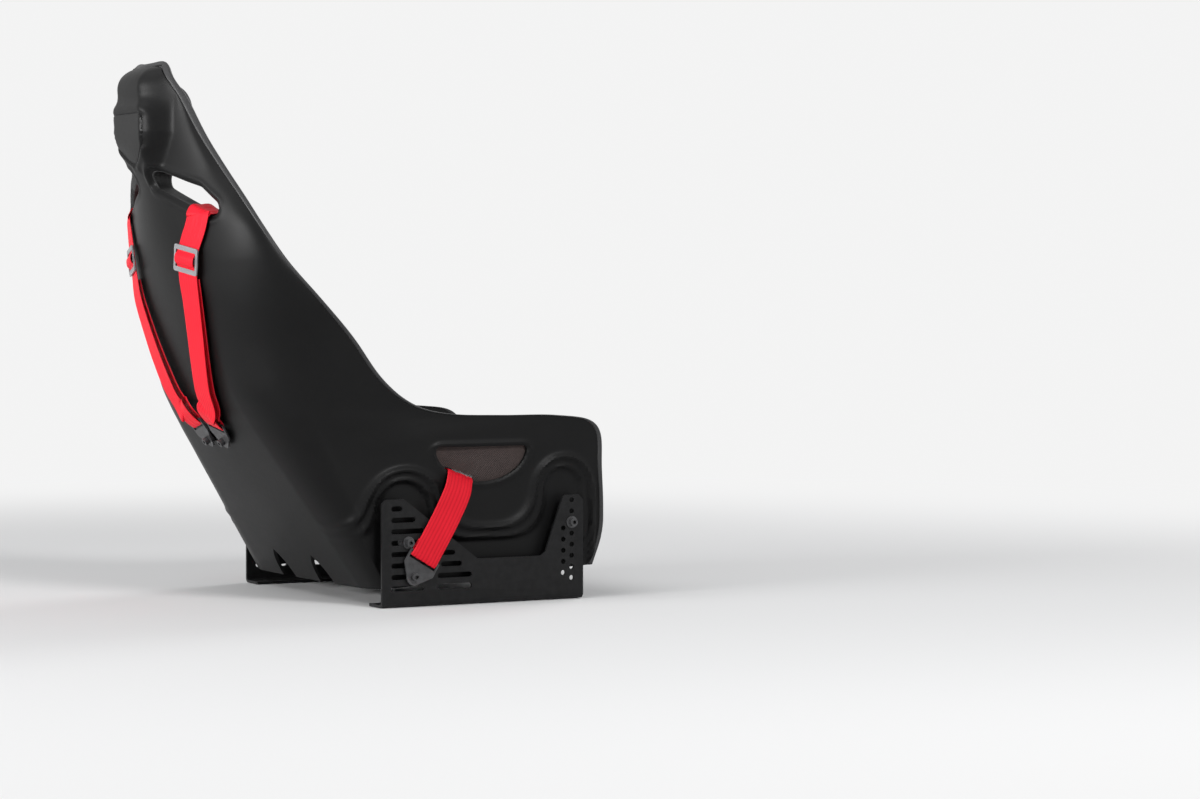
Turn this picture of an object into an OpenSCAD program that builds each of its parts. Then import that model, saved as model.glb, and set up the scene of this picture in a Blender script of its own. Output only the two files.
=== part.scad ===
// Racing bucket seat on a pair of side brackets, with a four point harness.
// +Z is up and the driver faces -Y, so the driver's left side is towards +X.
// The origin lies midway between the four foot holes, on the surface that the brackets are bolted to.

/* [Seat shell] */
// Height of the top of the head above the feet
seat_height = 886; // [800:1:1070]
// Width across the shoulders
shoulder_width = 566; // [470:1:690]
// Width across the hips
hip_width = 524; // [436:1:640]
// Width across the head
head_width = 208; // [180:1:250]
// Height of the rim beside the thighs above the feet
thigh_height = 306; // [280:1:340]
// Height of the shell's lower edge above the feet
shell_lift = 27; // [15:1:36]
// Height of the lowest part of the seat pan above the feet
pan_height = 101; // [90:1:120]
// Wall of the rear shell
rear_wall = 5; // [3.5:0.5:7]
// Wall of the front shell
front_wall = 4; // [3:0.5:6]
// Depth of the recess in each side that clears its bracket
recess_depth = 9; // [6:0.5:11]
// How far the back of the head stands proud
head_bulge = 26; // [12:1:32]

/* [Edge trim] */
// Width of the trim along the rim
trim_width = 13; // [10:0.5:16]
// Height of the trim along the sides
trim_height = 7; // [4:0.5:10]
// Height of the trim round the head
head_trim_height = 12; // [6:0.5:15]

/* [Upholstery] */
// Thickness of the seat cushion
seat_pad = 44; // [30:1:54]
// Thickness of the lumbar cushion
lumbar_pad = 36; // [24:1:44]
// Thickness of the back cushion
back_pad = 30; // [20:1:38]
// Thickness of the head cushion
head_pad = 32; // [20:1:40]
// Thickness of the side bolsters
bolster_pad = 30; // [18:1:36]

/* [Side brackets] */
// Thickness of the bracket steel
bracket_steel = 4.5; // [3:0.5:6]
// Length of a bracket
bracket_length = 374; // [360:1:400]
// Height of a bracket's two risers
riser_height = 176; // [160:1:190]
// Height of the low middle of a bracket
bracket_waist = 74; // [70:1:90]
// Gap between the shell's recess and the bracket
spacer_length = 17; // [13:0.5:22]
// Width of the foot flange, from the bracket's outer face
flange_width = 48; // [42:1:60]
// Distance between the foot holes along the seat
foot_hole_pitch = 334; // [320:1:340]
// Distance from the outer face of the bracket to the foot holes
foot_hole_inset = 27; // [22:1:32]
// Diameter of the foot holes
foot_hole = 8.5; // [6.5:0.5:11]
// Pitch of the rows of slots and holes
slot_pitch = 18.6; // [17:0.1:19]
// Width of a slot and diameter of a riser hole
slot_width = 8.6; // [8.4:0.1:11]

/* [Fasteners] */
// Diameter of the shell and anchor screws
screw = 8; // [6:0.5:8]
// Diameter of a screw head
screw_head = 13; // [11:0.5:15]
// Height of a screw head
screw_head_height = 8; // [6:0.5:9]
// Diameter of a washer
washer = 20; // [17:0.5:24]
// Thickness of a washer
washer_thick = 1.6; // [1.2:0.1:2.5]

/* [Harness] */
// Width of the webbing
webbing = 50; // [42:1:52]
// Thickness of the webbing
webbing_thick = 1.6; // [1.2:0.1:2]
// Thickness of the steel of anchors and tongues
anchor_steel = 3; // [2.5:0.5:4]
// Distance between the shoulder anchor screws
shoulder_anchor_pitch = 64; // [62:1:76]
// Distance of each shoulder strap from the middle, at its slot
strap_offset = 149; // [140:1:152]
// Diameter of the buckle
buckle_width = 66; // [60:1:80]
// Height of the buckle's housing
buckle_height = 22; // [21:1:28]
// Diameter of the release knob
knob_width = 50; // [44:1:58]
// Height of the release knob
knob_height = 12; // [10:1:16]
// Angle that the knob turns through to release the tongues
knob_turn = 40; // [30:1:44]

/* [Hidden] */

gap = 0.3;                        // clearance between pieces that only touch
tiny = 0.01;
hip = hip_width / 2;
shoulder = shoulder_width / 2;
head = head_width / 2;
recess_x = hip - recess_depth;    // flat floor of the recess, parallel to the bracket
bracket_inner = recess_x + spacer_length;
bracket_outer = bracket_inner + bracket_steel;
row_top = 19;                     // number of the last row of the shells

// Heights as shares of the base, from the lower edge to the rim, and of the back, from the rim to the top
function base(share) = shell_lift + share * (thigh_height - shell_lift);
function back(share) = thigh_height + share * (seat_height - thigh_height);

// ---- curves ----
function unit(v) = v / norm(v);
function mix(a, b, t) = a + (b - a) * t;
function clamp(t, low = 0, high = 1) = max(low, min(high, t));
function ease(t) = let (c = clamp(t)) c * c * (3 - 2 * c);
function mirrored(p) = [-p.x, p.y, p.z];
function sided(p, side) = [p.x * side, p.y, p.z];

// Smooth curve through evenly numbered rows of values
function hermite(p0, p1, m0, m1, t) =
  let (t2 = t * t, t3 = t2 * t)
  (2 * t3 - 3 * t2 + 1) * p0 + (t3 - 2 * t2 + t) * m0 + (3 * t2 - 2 * t3) * p1 + (t3 - t2) * m1;
function row_at(rows, s) =
  let (last = len(rows) - 1,
       i = clamp(floor(s), 0, last - 1),
       p0 = rows[i],
       p1 = rows[i + 1],
       m0 = i == 0 ? p1 - p0 : (p1 - rows[i - 1]) / 2,
       m1 = i == last - 1 ? p1 - p0 : (rows[i + 2] - p0) / 2)
  hermite(p0, p1, m0, m1, s - i);
function smoothed(points, steps) =
  [for (k = [0:steps]) row_at(points, k * (len(points) - 1) / steps)];

// ---- shell sections ----
// A row is [back y, back z, flat half width, corner x, corner depth, corner reach,
//           rim x, rim y, rim z, belly of the side]
// Going out from the middle, a section is flat up to the crease, turns the corner and runs on to the rim.
u_crease = 0.28;
u_wall = 0.48;
crease_drop = 0.3;                // share of the corner depth that is lost at the crease

REAR_ROWS = [
  [192, base(0.000), 197, hip - 10, 10, 20, hip - 5, -214, base(0.097), 4],
  [241, base(0.262), 188, hip - 4,  18, 28, hip - 3, -233, base(0.319), 6],
  [284, base(0.495), 176, hip - 7,  21, 36, hip - 2, -231, base(0.674), 6],
  [317, base(0.674), 167, hip - 11, 22, 44, hip - 1, -222, base(0.940), 6],
  [337, base(0.781), 162, hip - 14, 24, 48, hip,     -149, back(0.001), 6],
  [354, base(0.871), 157, hip - 17, 25, 52, hip,      -40, back(0.005), 5],
  [368, base(0.950), 153, hip - 20, 26, 57, hip,       58, back(0.012), 4],
  [383, back(0.021), 148, hip - 24, 25, 62, hip + 1,  125, back(0.042), 3],
  [401, back(0.085), 143, hip - 30, 24, 72, hip + 6,  183, back(0.116), 2],
  [425, back(0.205), 134, shoulder - 56, 30, 83, shoulder - 6, 238, back(0.232), 1],
  [450, back(0.343), 124, shoulder - 50, 35, 80, shoulder,     298, back(0.340), 0],
  [465, back(0.438), 110, shoulder - 51, 41, 70, shoulder - 6, 350, back(0.438), 0],
  [476, back(0.533),  95, shoulder - 65, 45, 55, shoulder - 26, 383, back(0.533), 0],
  [482, back(0.619),  80, shoulder - 96, 41, 40, shoulder - 60, 401, back(0.616), 0],
  [487, back(0.705),  62, head + 42, 34, 26, head + 77, 417, back(0.700), 0],
  [490, back(0.791),  52, head + 16, 27, 18, head + 42, 435, back(0.786), 0],
  [491, back(0.863),  46, head - 1, 22, 13, head + 16, 449, back(0.866), 0],
  [491, back(0.919),  40, head - 12, 17, 10, head, 461, back(0.929), 0],
  [490, back(0.956),  32, head - 28, 13,  8, head - 13, 472, back(0.970), 0],
  [484, seat_height - head_trim_height, 24, head - 54, 6, 8, head - 32, 479, back(0.992), 0]];

// The wall between the corner and the rim swings out early and then runs straight up to the rim.
wall_run = 250;                   // length of wall at which it swings out the most
function trim_at(s) = mix(trim_height, head_trim_height, ease((s - 11) / 5));
function section(r, u, inset = 0) =
  let (a = abs(u),
       centre = [0, r[0], r[1]],
       edge = [r[6], r[7], r[8]],
       ahead = unit([0, r[7] - r[0], r[8] - r[1]]),
       crease = centre + [r[2], 0, 0] + ahead * r[4] * crease_drop,
       corner = centre + [r[3], 0, 0] + ahead * r[4],
       rim = edge - unit(edge - corner) * inset,
       run = norm(rim - corner),
       swing = 1 + 1.5 * clamp(run / wall_run),
       reach = min(r[5] / run, 0.9),
       pace = swing * pow(1 - reach, swing - 1),
       wall_x = mix(corner.x, rim.x, 1 - pow(1 - reach, swing)),
       wall = [wall_x, mix(corner.y, rim.y, reach), mix(corner.z, rim.z, reach)],
       bend = [wall_x - (rim.x - corner.x) * pace * reach, corner.y, corner.z],
       t = a < u_crease ? a / u_crease
         : a < u_wall ? (a - u_crease) / (u_wall - u_crease) : (a - u_wall) / (1 - u_wall),
       d = mix(reach, 1, t),
       p = a < u_crease ? centre + [r[2] * t, 0, 0] + ahead * r[4] * crease_drop * t * t
         : a < u_wall ? mix(mix(crease, bend, t), mix(bend, wall, t), t)
         : [mix(corner.x, rim.x, 1 - pow(1 - d, swing)) + r[9] * 9.5 * t * pow(1 - t, 3),
            mix(corner.y, rim.y, d), mix(corner.z, rim.z, d)])
  [p.x * sign(u), p.y, p.z];

// ---- relief of the rear shell ----
// The recess under the arches joins two round-topped bays by a low waist with rounded corners.
rear_bay = [140, base(0.463), 64];     // middle along the seat, height of its centre, radius
front_bay = [-157, base(0.559), 52];
waist_top = base(0.34);
bay_blend = 75;
recess_edge = 20;
function bay(y, z, b) = norm([y - b[0], max(0, z - b[1])]) - b[2];
function soft_min(a, b, k) = let (h = max(k - abs(a - b), 0) / k) min(a, b) - h * h * k / 4;
function recess_line(y, z) =
  soft_min(min(bay(y, z, rear_bay), bay(y, z, front_bay)), max(z - waist_top, front_bay[0] - y), bay_blend);
function recess(y, z) = ease(-recess_line(y, z) / recess_edge);

// The back of the head stands proud in a flat shape that narrows below and rounds over at the top.
pod_low = back(0.640);
pod_wide = back(0.805);
pod_round = back(0.940);
function pod_half(z) = (head - 14) * pow(clamp((z - pod_low) / (pod_wide - pod_low)), 0.45);
function pod(x, z) =
  let (half = pod_half(z),
       side = half < 1 ? 0 : 1 - ease((abs(x) / half - 0.72) / 0.28),
       over = clamp((z - pod_round) / (seat_height - head_trim_height - pod_round)))
  side * pow(clamp((z - pod_low) / (pod_wide - pod_low)), 0.7) * sqrt(1 - pow(over, 3));

function rear_point(s, u) =
  let (row = row_at(REAR_ROWS, s),
       p = section(row, u, trim_at(s)),
       sunk = abs(u) > u_crease && s < 6 && abs(p.x) > recess_x
            ? (abs(p.x) - recess_x) * recess(p.y, p.z) : 0,
       swell = s > 12 ? (row[0] + head_bulge - p.y) * pod(p.x, p.z) : 0)
  [p.x - sign(u) * sunk, p.y + swell, p.z];

// ---- front shell ----
// A row is [row of the rim on the rear shell, middle y, middle z, flat half width, corner x,
//           corner depth, corner reach]
FRONT_ROWS = [
  [19.0, 474, seat_height - head_trim_height - 8,  22, head - 58,  5,  5],
  [18.0, 472, back(0.957),  28, head - 38, 8,  8],
  [17.0, 468, back(0.918),  36, head - 24, 10, 10],
  [16.0, 463, back(0.868),  42, head - 12, 13, 14],
  [15.0, 457, back(0.787),  48, head,      15, 20],
  [14.0, 453, back(0.700),  58, head + 24, 19, 25],
  [13.0, 450, back(0.614),  75, shoulder - 118, 24, 35],
  [12.0, 444, back(0.528),  90, shoulder - 88, 28, 45],
  [11.0, 432, back(0.434), 103, shoulder - 71, 30, 60],
  [10.0, 414, back(0.341), 112, shoulder - 69, 30, 70],
  [9.0, 391, back(0.248), 118, hip - 50, 28, 75],
  [8.0, 364, back(0.155), 124, hip - 52, 26, 75],
  [7.1, 333, back(0.059), 130, hip - 54, 24, 72],
  [6.5, 296, base(0.925), 136, hip - 55, 22, 70],
  [6.0, 252, base(0.728), 142, hip - 56, 20, 68],
  [5.6, 202, pan_height + 77, 148, hip - 56, 18, 66],
  [5.2, 148, pan_height + 35, 152, hip - 56, 17, 64],
  [4.85, 88, pan_height + 9, 156, hip - 55, 17, 62],
  [4.5, 22, pan_height, 160, hip - 53, 17, 60],
  [4.15, -48, pan_height + 11, 164, hip - 51, 18, 55],
  [3.8, -118, pan_height + 32, 168, hip - 48, 18, 50],
  [3.4, -182, pan_height + 55, 174, hip - 44, 18, 45],
  [3.0, -224, pan_height + 74, 182, hip - 38, 16, 40],
  [2.6, -241, pan_height + 64, 190, hip - 30, 14, 30],
  [2.0, -247, pan_height + 26, 196, hip - 24, 10, 24],
  [1.2, -244, pan_height - 12, 200, hip - 21, 8, 20],
  [0.0, -226, base(0.11), 200, hip - 21, 4, 16]];
front_last = len(FRONT_ROWS) - 1;

function slope(a, b, c, d) = unit(cross(b - a, d - c));
function rear_normal(s, u, e = 0.02) =
  slope(rear_point(clamp(s - e, 0, row_top), u), rear_point(clamp(s + e, 0, row_top), u),
        rear_point(s, clamp(u - e, -1, 1)), rear_point(s, clamp(u + e, -1, 1)));
// A point outside the rear shell, at a height over its surface
function on_back(s, u, out) = rear_point(s, u) + rear_normal(s, u) * out;
shell_gap = 0.8;                  // between the two shells along the rim
front_drop = 3.5;                 // how far the front shell's edge stays below the rim
function front_rim(s) =
  rear_point(s, 1) - rear_normal(s, 1) * (rear_wall + shell_gap)
  - unit(rear_point(s, 1) - rear_point(s, 0.96)) * front_drop;
function front_point(j, u) =
  let (f = row_at(FRONT_ROWS, j), rim = front_rim(clamp(f[0], 0, row_top)))
  section([f[1], f[2], f[3], f[4], f[5], f[6], rim.x, rim.y, rim.z, 0], u);
function front_normal(j, u, e = 0.03) =
  slope(front_point(clamp(j + e, 0, front_last), u), front_point(clamp(j - e, 0, front_last), u),
        front_point(j, clamp(u - e, -1, 1)), front_point(j, clamp(u + e, -1, 1)));

// A point above the seat side of the front shell, at a height over its surface
function over_front(j, u, height) = front_point(j, u) - front_normal(j, u) * (front_wall + height);

// ---- solids from grids of points ----
// Two grids of the same size, the outer one facing out, are closed along their four edges.
module closed_grid(outer, inner) {
  m = len(outer);
  n = len(outer[0]);
  function a(i, j) = i * n + j;
  function b(i, j) = m * n + i * n + j;
  function quad(p, q, r, s) = [[p, q, r], [p, r, s]];
  points = concat([for (row = outer) each row], [for (row = inner) each row]);
  faces = concat(
    [for (i = [0:m - 2], j = [0:n - 2]) each quad(a(i, j), a(i, j + 1), a(i + 1, j + 1), a(i + 1, j))],
    [for (i = [0:m - 2], j = [0:n - 2]) each quad(b(i, j), b(i + 1, j), b(i + 1, j + 1), b(i, j + 1))],
    [for (j = [0:n - 2]) each quad(a(0, j + 1), a(0, j), b(0, j), b(0, j + 1))],
    [for (j = [0:n - 2]) each quad(a(m - 1, j), a(m - 1, j + 1), b(m - 1, j + 1), b(m - 1, j))],
    [for (i = [0:m - 2]) each quad(a(i, 0), a(i + 1, 0), b(i + 1, 0), b(i, 0))],
    [for (i = [0:m - 2]) each quad(a(i + 1, n - 1), a(i, n - 1), b(i, n - 1), b(i + 1, n - 1))]);
  polyhedron(points, faces);
}

// A closed tube through rings of points
module closed_rings(rings) {
  n = len(rings[0]);
  last = (len(rings) - 1) * n;
  points = [for (ring = rings) each ring];
  faces = concat(
    [for (i = [0:len(rings) - 2], k = [0:n - 1])
       each [[i * n + k, i * n + (k + 1) % n, (i + 1) * n + k],
             [i * n + (k + 1) % n, (i + 1) * n + (k + 1) % n, (i + 1) * n + k]]],
    [for (k = [1:n - 2]) [0, k + 1, k]],
    [for (k = [1:n - 2]) [last, last + k, last + k + 1]]);
  polyhedron(points, faces);
}

// Flat webbing along a route; each stop is a point and the direction across the webbing there
function ahead_at(route, i) =
  unit(route[min(i + 1, len(route) - 1)] - route[max(i - 1, 0)]);
module ribbon(route, across, width = webbing, thick = webbing_thick) {
  closed_rings([for (i = [0:len(route) - 1])
    let (d = ahead_at(route, i),
         w = unit(across[i] - d * (across[i] * d)) * width / 2,
         h = unit(cross(d, w)) * thick / 2)
    [route[i] + w + h, route[i] - w + h, route[i] - w - h, route[i] + w - h]]);
}

// ---- slots through the shells ----
module shoulder_slot_shape(grow = 0) {
  slot_z = back(0.62);
  offset(r = grow) {
    hull() {
      translate([46, slot_z + 29]) circle(r = 15, $fn = 24);
      translate([138, slot_z]) circle(r = 18, $fn = 24);
    }
    hull() {
      translate([138, slot_z]) circle(r = 18, $fn = 24);
      translate([172, slot_z - 19]) circle(r = 13, $fn = 24);
    }
  }
}

hip_slot_top = base(0.828);
module hip_slot_shape(grow = 0) {
  offset(r = 8 + grow, $fn = 32) offset(delta = -8) intersection() {
    translate([-2, hip_slot_top]) scale([86, 58]) circle(r = 1, $fn = 48);
    translate([-100, hip_slot_top - 80]) square([200, 80]);
  }
}

module through_back(grow = 0) {
  for (side = [-1, 1])
    scale([side, 1, 1])
      translate([0, 560, 0])
        rotate([90, 0, 0])
          linear_extrude(220) shoulder_slot_shape(grow);
}

module through_hips(grow = 0) {
  for (side = [-1, 1])
    scale([side, 1, 1])
      translate([180, 0, 0])
        rotate([90, 0, 90])
          linear_extrude(140) hip_slot_shape(grow);
}

module along_x(x0, x1, y, z, r) {
  translate([min(x0, x1), y, z])
    rotate([0, 90, 0])
      cylinder(h = abs(x1 - x0), r = r, $fn = 24);
}

// ---- shells ----
u_columns = concat([for (k = [0:2]) u_crease * k / 3], [for (k = [0:2]) mix(u_crease, u_wall, k / 3)],
                   [for (k = [0:6]) mix(u_wall, 1, k / 6)]);
u_full = concat([for (k = [len(u_columns) - 1:-1:1]) -u_columns[k]], u_columns);
s_full = concat([for (k = [0:11]) k / 3], [for (k = [8:17]) k / 2], [for (s = [9:13]) s],
                [for (k = [27:35]) k / 2], [for (k = [0:4]) 18 + k / 4]);

// The lower back edge has two pointed arches cut out of it.
arch_offset = 76;
arch_width = 54;
arch_height = 48;
module rear_arch_shape() {
  intersection_for (side = [-1, 1])
    translate([side * (arch_width * 0.75), shell_lift - 1])
      scale([arch_width * 1.25, arch_height * 1.25])
        circle(r = 1, $fn = 36);
}

insert_radius = screw / 2 + 2.5;
spacer_radius = 9;
screw_places = [[139, 30.5 + 4 * slot_pitch], [-165, 35 + 5 * slot_pitch]];
anchor_row = REAR_ROWS[5];        // the shoulder anchors sit on the back at this row
anchor_y = anchor_row[0];
anchor_z = anchor_row[1];
back_lean = 33.5;                 // lean of the lower back from upright

module at_shoulder_anchor(side) {
  translate([side * shoulder_anchor_pitch / 2, anchor_y, anchor_z])
    rotate([90 + back_lean, 0, 180])
      rotate([0, 0, side * shoulder_lean])
        children();
}

module rear_body() {
  closed_grid([for (s = s_full) [for (u = u_full) rear_point(s, u)]],
              [for (s = s_full) [for (u = u_full) on_back(s, u, -rear_wall)]]);
}

module rear_shell() {
  color([0.10, 0.10, 0.11])
    resize([0, 0, 0])
      difference() {
        rear_body();
        through_back();
        through_hips();
        for (x = [-arch_offset, arch_offset])
          translate([x, 260, 0])
            rotate([90, 0, 0])
              linear_extrude(120) rear_arch_shape();
        for (side = [-1, 1], place = screw_places) {
          along_x(side * (recess_x - 20), side * (recess_x + 20), place[0], place[1], insert_radius + gap);
          along_x(side * recess_x, side * (recess_x + 20), place[0], place[1], spacer_radius + gap);
        }
        for (side = [-1, 1])
          at_shoulder_anchor(side)
            translate([0, 0, -30])
              cylinder(h = 60, r = screw / 2 + gap, $fn = 24);
      }
}

j_full = concat([for (j = [0:7]) j], [for (k = [15:19]) k / 2], [for (j = [10:front_last]) j]);
u_front = concat([for (k = [0:2]) u_crease * k / 3], [for (k = [0:2]) mix(u_crease, u_wall, k / 3)],
                 [for (k = [0:4]) mix(u_wall, 1, k / 4)]);
u_front_full = concat([for (k = [len(u_front) - 1:-1:1]) -u_front[k]], u_front);

crotch_slot = [74, 22];
crotch_y = -96;
module crotch_cut(grow = 0) {
  translate([0, crotch_y, 0])
    linear_extrude(400)
      offset(r = 6 + grow, $fn = 32)
        square([crotch_slot.x - 12, crotch_slot.y - 12], center = true);
}

// Along the rim the front shell's edge is flush with the edge of the rear shell.
function front_inner(j, u) =
  let (s = clamp(row_at(FRONT_ROWS, j)[0], 0, row_top), p = front_rim(s) - rear_normal(s, 1) * front_wall)
  u == 1 ? p : u == -1 ? mirrored(p) : over_front(j, u, 0);
module front_body() {
  closed_grid([for (j = j_full) [for (u = u_front_full) front_inner(j, u)]],
              [for (j = j_full) [for (u = u_front_full) front_point(j, u)]]);
}

module front_shell() {
  color([0.13, 0.13, 0.14])
    resize([0, 0, 0])
      difference() {
        front_body();
        rear_body();
        through_back(4 + gap);
        through_hips(6);
        crotch_cut(gap);
      }
}

// ---- rim trim ----
function rim_frame(s, u, away, clear, share = 1) =
  let (n = rear_normal(s, u))
  [rear_point(s, u) - n * (rear_wall + front_wall + shell_gap) / 2, n, unit(away - n * (away * n)), trim_at(s) * share,
   mix(-nose_gap, trim_width / 2, ease(s - nose_rows)), clear];
function side_away(s) = unit(rear_point(s, 1) - rear_point(s, 0.96));
function top_away(u) = unit(rear_point(row_top, u) - rear_point(row_top - 0.1, u));
nose_rows = 3;                    // up to this row the nose of the front shell leaves room on one side only
nose_gap = 1;
trim_gap = 1.4;                   // from the shells' edges to the trim
top_gap = 1.8;
corner_gap = 4.4;
corner_share = 0.7;               // of the trim's height is left at the two top corners
rim_side = [for (s = s_full) if (s < row_top) rim_frame(s, 1, side_away(s), s < 17 ? trim_gap : corner_gap)];
rim_corner = [rim_frame(row_top, 1, side_away(row_top) + top_away(1), corner_gap, corner_share)];
function top_frame(u) = rim_frame(row_top, u, top_away(u), top_gap);
rim_head = [for (k = [len(u_columns) - 2:-1:1]) top_frame(u_columns[k])];
rim_half = concat(rim_side, rim_corner, rim_head);
function flipped(f) = [mirrored(f[0]), mirrored(f[1]), mirrored(f[2]), f[3], f[4], f[5]];
rim_frames = concat(rim_half, [top_frame(0)], [for (k = [len(rim_half) - 1:-1:0]) flipped(rim_half[k])]);

// The trim lies on the edges of both shells, with a rounded back.
function trim_section(height, inner, clear) =
  let (w = trim_width / 2)
  [[-inner, clear], [w, clear], [w, height * 0.5], [w * 0.55, height], [-inner * 0.55, height],
   [-inner, height * 0.5]];
module rim_trim() {
  color([0.2, 0.2, 0.21])
    resize([0, 0, 0])
      difference() {
        closed_rings([for (f = rim_frames)
          [for (p = trim_section(f[3], f[4], f[5])) f[0] + f[1] * p.x + f[2] * p.y]]);
        rear_body();
        front_body();
      }
}

// ---- head shield, a blank plate on the back of the head ----
shield_top = back(0.862);
shield_low = back(0.712);
shield_steps = 6;
shield_thick = 2;
shield_rows = [for (s = s_full) if (s > 13 && s < 18) s];
shield_columns = [for (u = u_full) if (abs(u) < u_wall + tiny) u];
module head_shield() {
  side = [for (k = [0:shield_steps])
    let (z = mix(shield_top, shield_low + 12, k / shield_steps)) [pod_half(z) * 0.68, z]];
  color([0.16, 0.16, 0.17])
    resize([0, 0, 0])
      intersection() {
        closed_grid([for (s = shield_rows) [for (u = shield_columns) on_back(s, u, shield_thick + gap)]],
                    [for (s = shield_rows) [for (u = shield_columns) on_back(s, u, gap)]]);
        translate([0, 560, 0])
          rotate([90, 0, 0])
            linear_extrude(120)
              offset(r = 9, $fn = 32)
                offset(delta = -9)
                  polygon(concat(side, [[0, shield_low]],
                                 [for (k = [shield_steps:-1:0]) [-side[k].x, side[k].y]]));
      }
}

// ---- upholstery ----
// A pad lies on the facets of the front shell between two rows, across a list of its columns.
pad_gap = 0.6;
function pad_floor(j, u) =
  let (low = max([for (k = j_full) if (k <= j) k]), high = min([for (k = j_full) if (k > low) k]))
  mix(over_front(low, u, pad_gap), over_front(high, u, pad_gap), (j - low) / (high - low));
function pad_edge(a) = sqrt(1 - pow(abs(2 * a - 1), 5));
module pad(j0, j1, us, thick) {
  js = concat([j0], [for (k = [ceil(2 * j0 + 0.2):floor(2 * j1 - 0.2)]) k / 2], [j1]);
  span = us[len(us) - 1] - us[0];
  function height(j, u) = thick * (0.25 + 0.75 * pad_edge((j - j0) / (j1 - j0)) * pad_edge((u - us[0]) / span));
  closed_grid([for (j = js) [for (u = us) pad_floor(j, u) - front_normal(j, u) * height(j, u)]],
              [for (j = js) [for (u = us) pad_floor(j, u)]]);
}

pad_colour = [0.17, 0.17, 0.18];
bolster_colour = [0.22, 0.22, 0.23];
function between(u0, u1) = [for (u = u_front_full) if (u > u0 - tiny && u < u1 + tiny) u];
pad_columns = between(-u_front[4], u_front[4]);
head_columns = between(-u_front[5], u_front[5]);

module seat_cushion() {
  color(pad_colour)
    resize([0, 0, 0])
      difference() {
        pad(16.3, 22.4, pad_columns, seat_pad);
        crotch_cut(3);
      }
}

module lumbar_cushion() color(pad_colour) pad(11.6, 15.9, pad_columns, lumbar_pad);
module back_cushion() color(pad_colour) pad(6.95, 11.3, pad_columns, back_pad);
module head_cushion() color(pad_colour) pad(1.7, 4.6, head_columns, head_pad);

// A bolster lies on the wall between two columns, counted out from the middle.
module bolster(side, j0, j1, first, last, thick) {
  low = side > 0 ? u_front[first] : -u_front[last];
  high = side > 0 ? u_front[last] : -u_front[first];
  color(bolster_colour) pad(j0, j1, between(low, high), thick);
}
module thigh_bolster(side) bolster(side, 19.5, 22.3, 5, 9, bolster_pad);
module rib_bolster(side) bolster(side, 9.9, 14.6, 5, 9, bolster_pad);
module shoulder_bolster(side) bolster(side, 7.0, 9.6, 5, 9, bolster_pad * 0.8);

// Pieces are made on the driver's left and mirrored for the right.
module on_side(side) {
  if (side > 0) children();
  else mirror([1, 0, 0]) children();
}

// ---- slot tunnels and meshes ----
tunnel_wall = 4;
tunnel_rows = 11;
module shoulder_slot_tunnel(side) {
  color([0.08, 0.08, 0.08])
    on_side(side)
      resize([0, 0, 0])
        intersection() {
          translate([0, 560, 0])
            rotate([90, 0, 0])
              linear_extrude(220)
                difference() {
                  shoulder_slot_shape(0);
                  shoulder_slot_shape(-tunnel_wall);
                }
          closed_grid(
            [for (k = [0:tunnel_rows]) [for (u = [0:0.1:1]) on_back(mix(10.5, 16, k / tunnel_rows), u, -0.5)]],
            [for (k = [0:tunnel_rows]) [for (u = [0:0.1:1]) over_front(mix(8.6, 3, k / tunnel_rows), u, 2)]]);
        }
}

mesh_thick = 1.5;
mesh_x = hip - rear_wall - 1.8;   // the mesh lies behind the wall of the rear shell
belt_place = [38, hip_slot_top - 44];  // where the lap webbing goes through the mesh
belt_tilt = 18;
module hip_mesh(side) {
  color([0.24, 0.19, 0.18])
    on_side(side)
      translate([mesh_x - mesh_thick, 0, 0])
        rotate([90, 0, 90])
          linear_extrude(mesh_thick)
            difference() {
              hip_slot_shape(5);
              translate(belt_place) rotate(belt_tilt) square([webbing + 6, 7], center = true);
            }
}

module crotch_slot_collar() {
  color([0.08, 0.08, 0.08])
    translate([0, crotch_y, pan_height])
      difference() {
        linear_extrude(74)
          offset(r = 6, $fn = 32)
            square([crotch_slot.x - 12, crotch_slot.y - 12], center = true);
        translate([0, 0, -1])
          linear_extrude(90)
            offset(r = 4, $fn = 32)
              square([crotch_slot.x - 12, crotch_slot.y - 12], center = true);
      }
}

// ---- side brackets ----
bend = 9;                         // outside radius of the bend into the foot
half_length = bracket_length / 2;
riser_front = half_length - 39;   // where the front riser starts
rear_riser_top = [half_length - 40, riser_height];
waist_rear = [12, bracket_waist];
waist_front = [-106, bracket_waist];
slot_rows = [for (i = [0:7]) 30.5 + i * slot_pitch];
slot_start = half_length - 17;
function diagonal_y(z) =
  waist_rear[0] + (z - bracket_waist) * (rear_riser_top[0] - waist_rear[0]) / (riser_height - bracket_waist);
function rear_slot_end(z) = min(max(diagonal_y(z) + 24, 110), slot_start - 20);
front_slots = [[86, 23], [86, 23], [80, 41], [88, 54]];

module bracket_outline() {
  difference() {
    polygon([[half_length, bend], [half_length, riser_height - 7], [half_length - 7, riser_height],
             rear_riser_top, waist_rear, waist_front, [waist_front[0] - 9, bracket_waist + 6],
             [-riser_front, riser_height - 5], [-riser_front - 5, riser_height - 2],
             [-half_length + 8, riser_height - 2], [-half_length, riser_height - 11], [-half_length, bend]]);
    for (z = slot_rows) slot_2d(slot_start, rear_slot_end(z), z);
    for (i = [0:3]) slot_2d(front_slots[i][0], front_slots[i][1], slot_rows[i]);
    for (k = [0:7])
      translate([-half_length + 22, 35 + k * slot_pitch]) circle(r = slot_width / 2, $fn = 32);
    for (k = [0:4])
      translate([-half_length + 38, 44 + k * slot_pitch]) circle(r = slot_width / 2, $fn = 32);
  }
}

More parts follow.
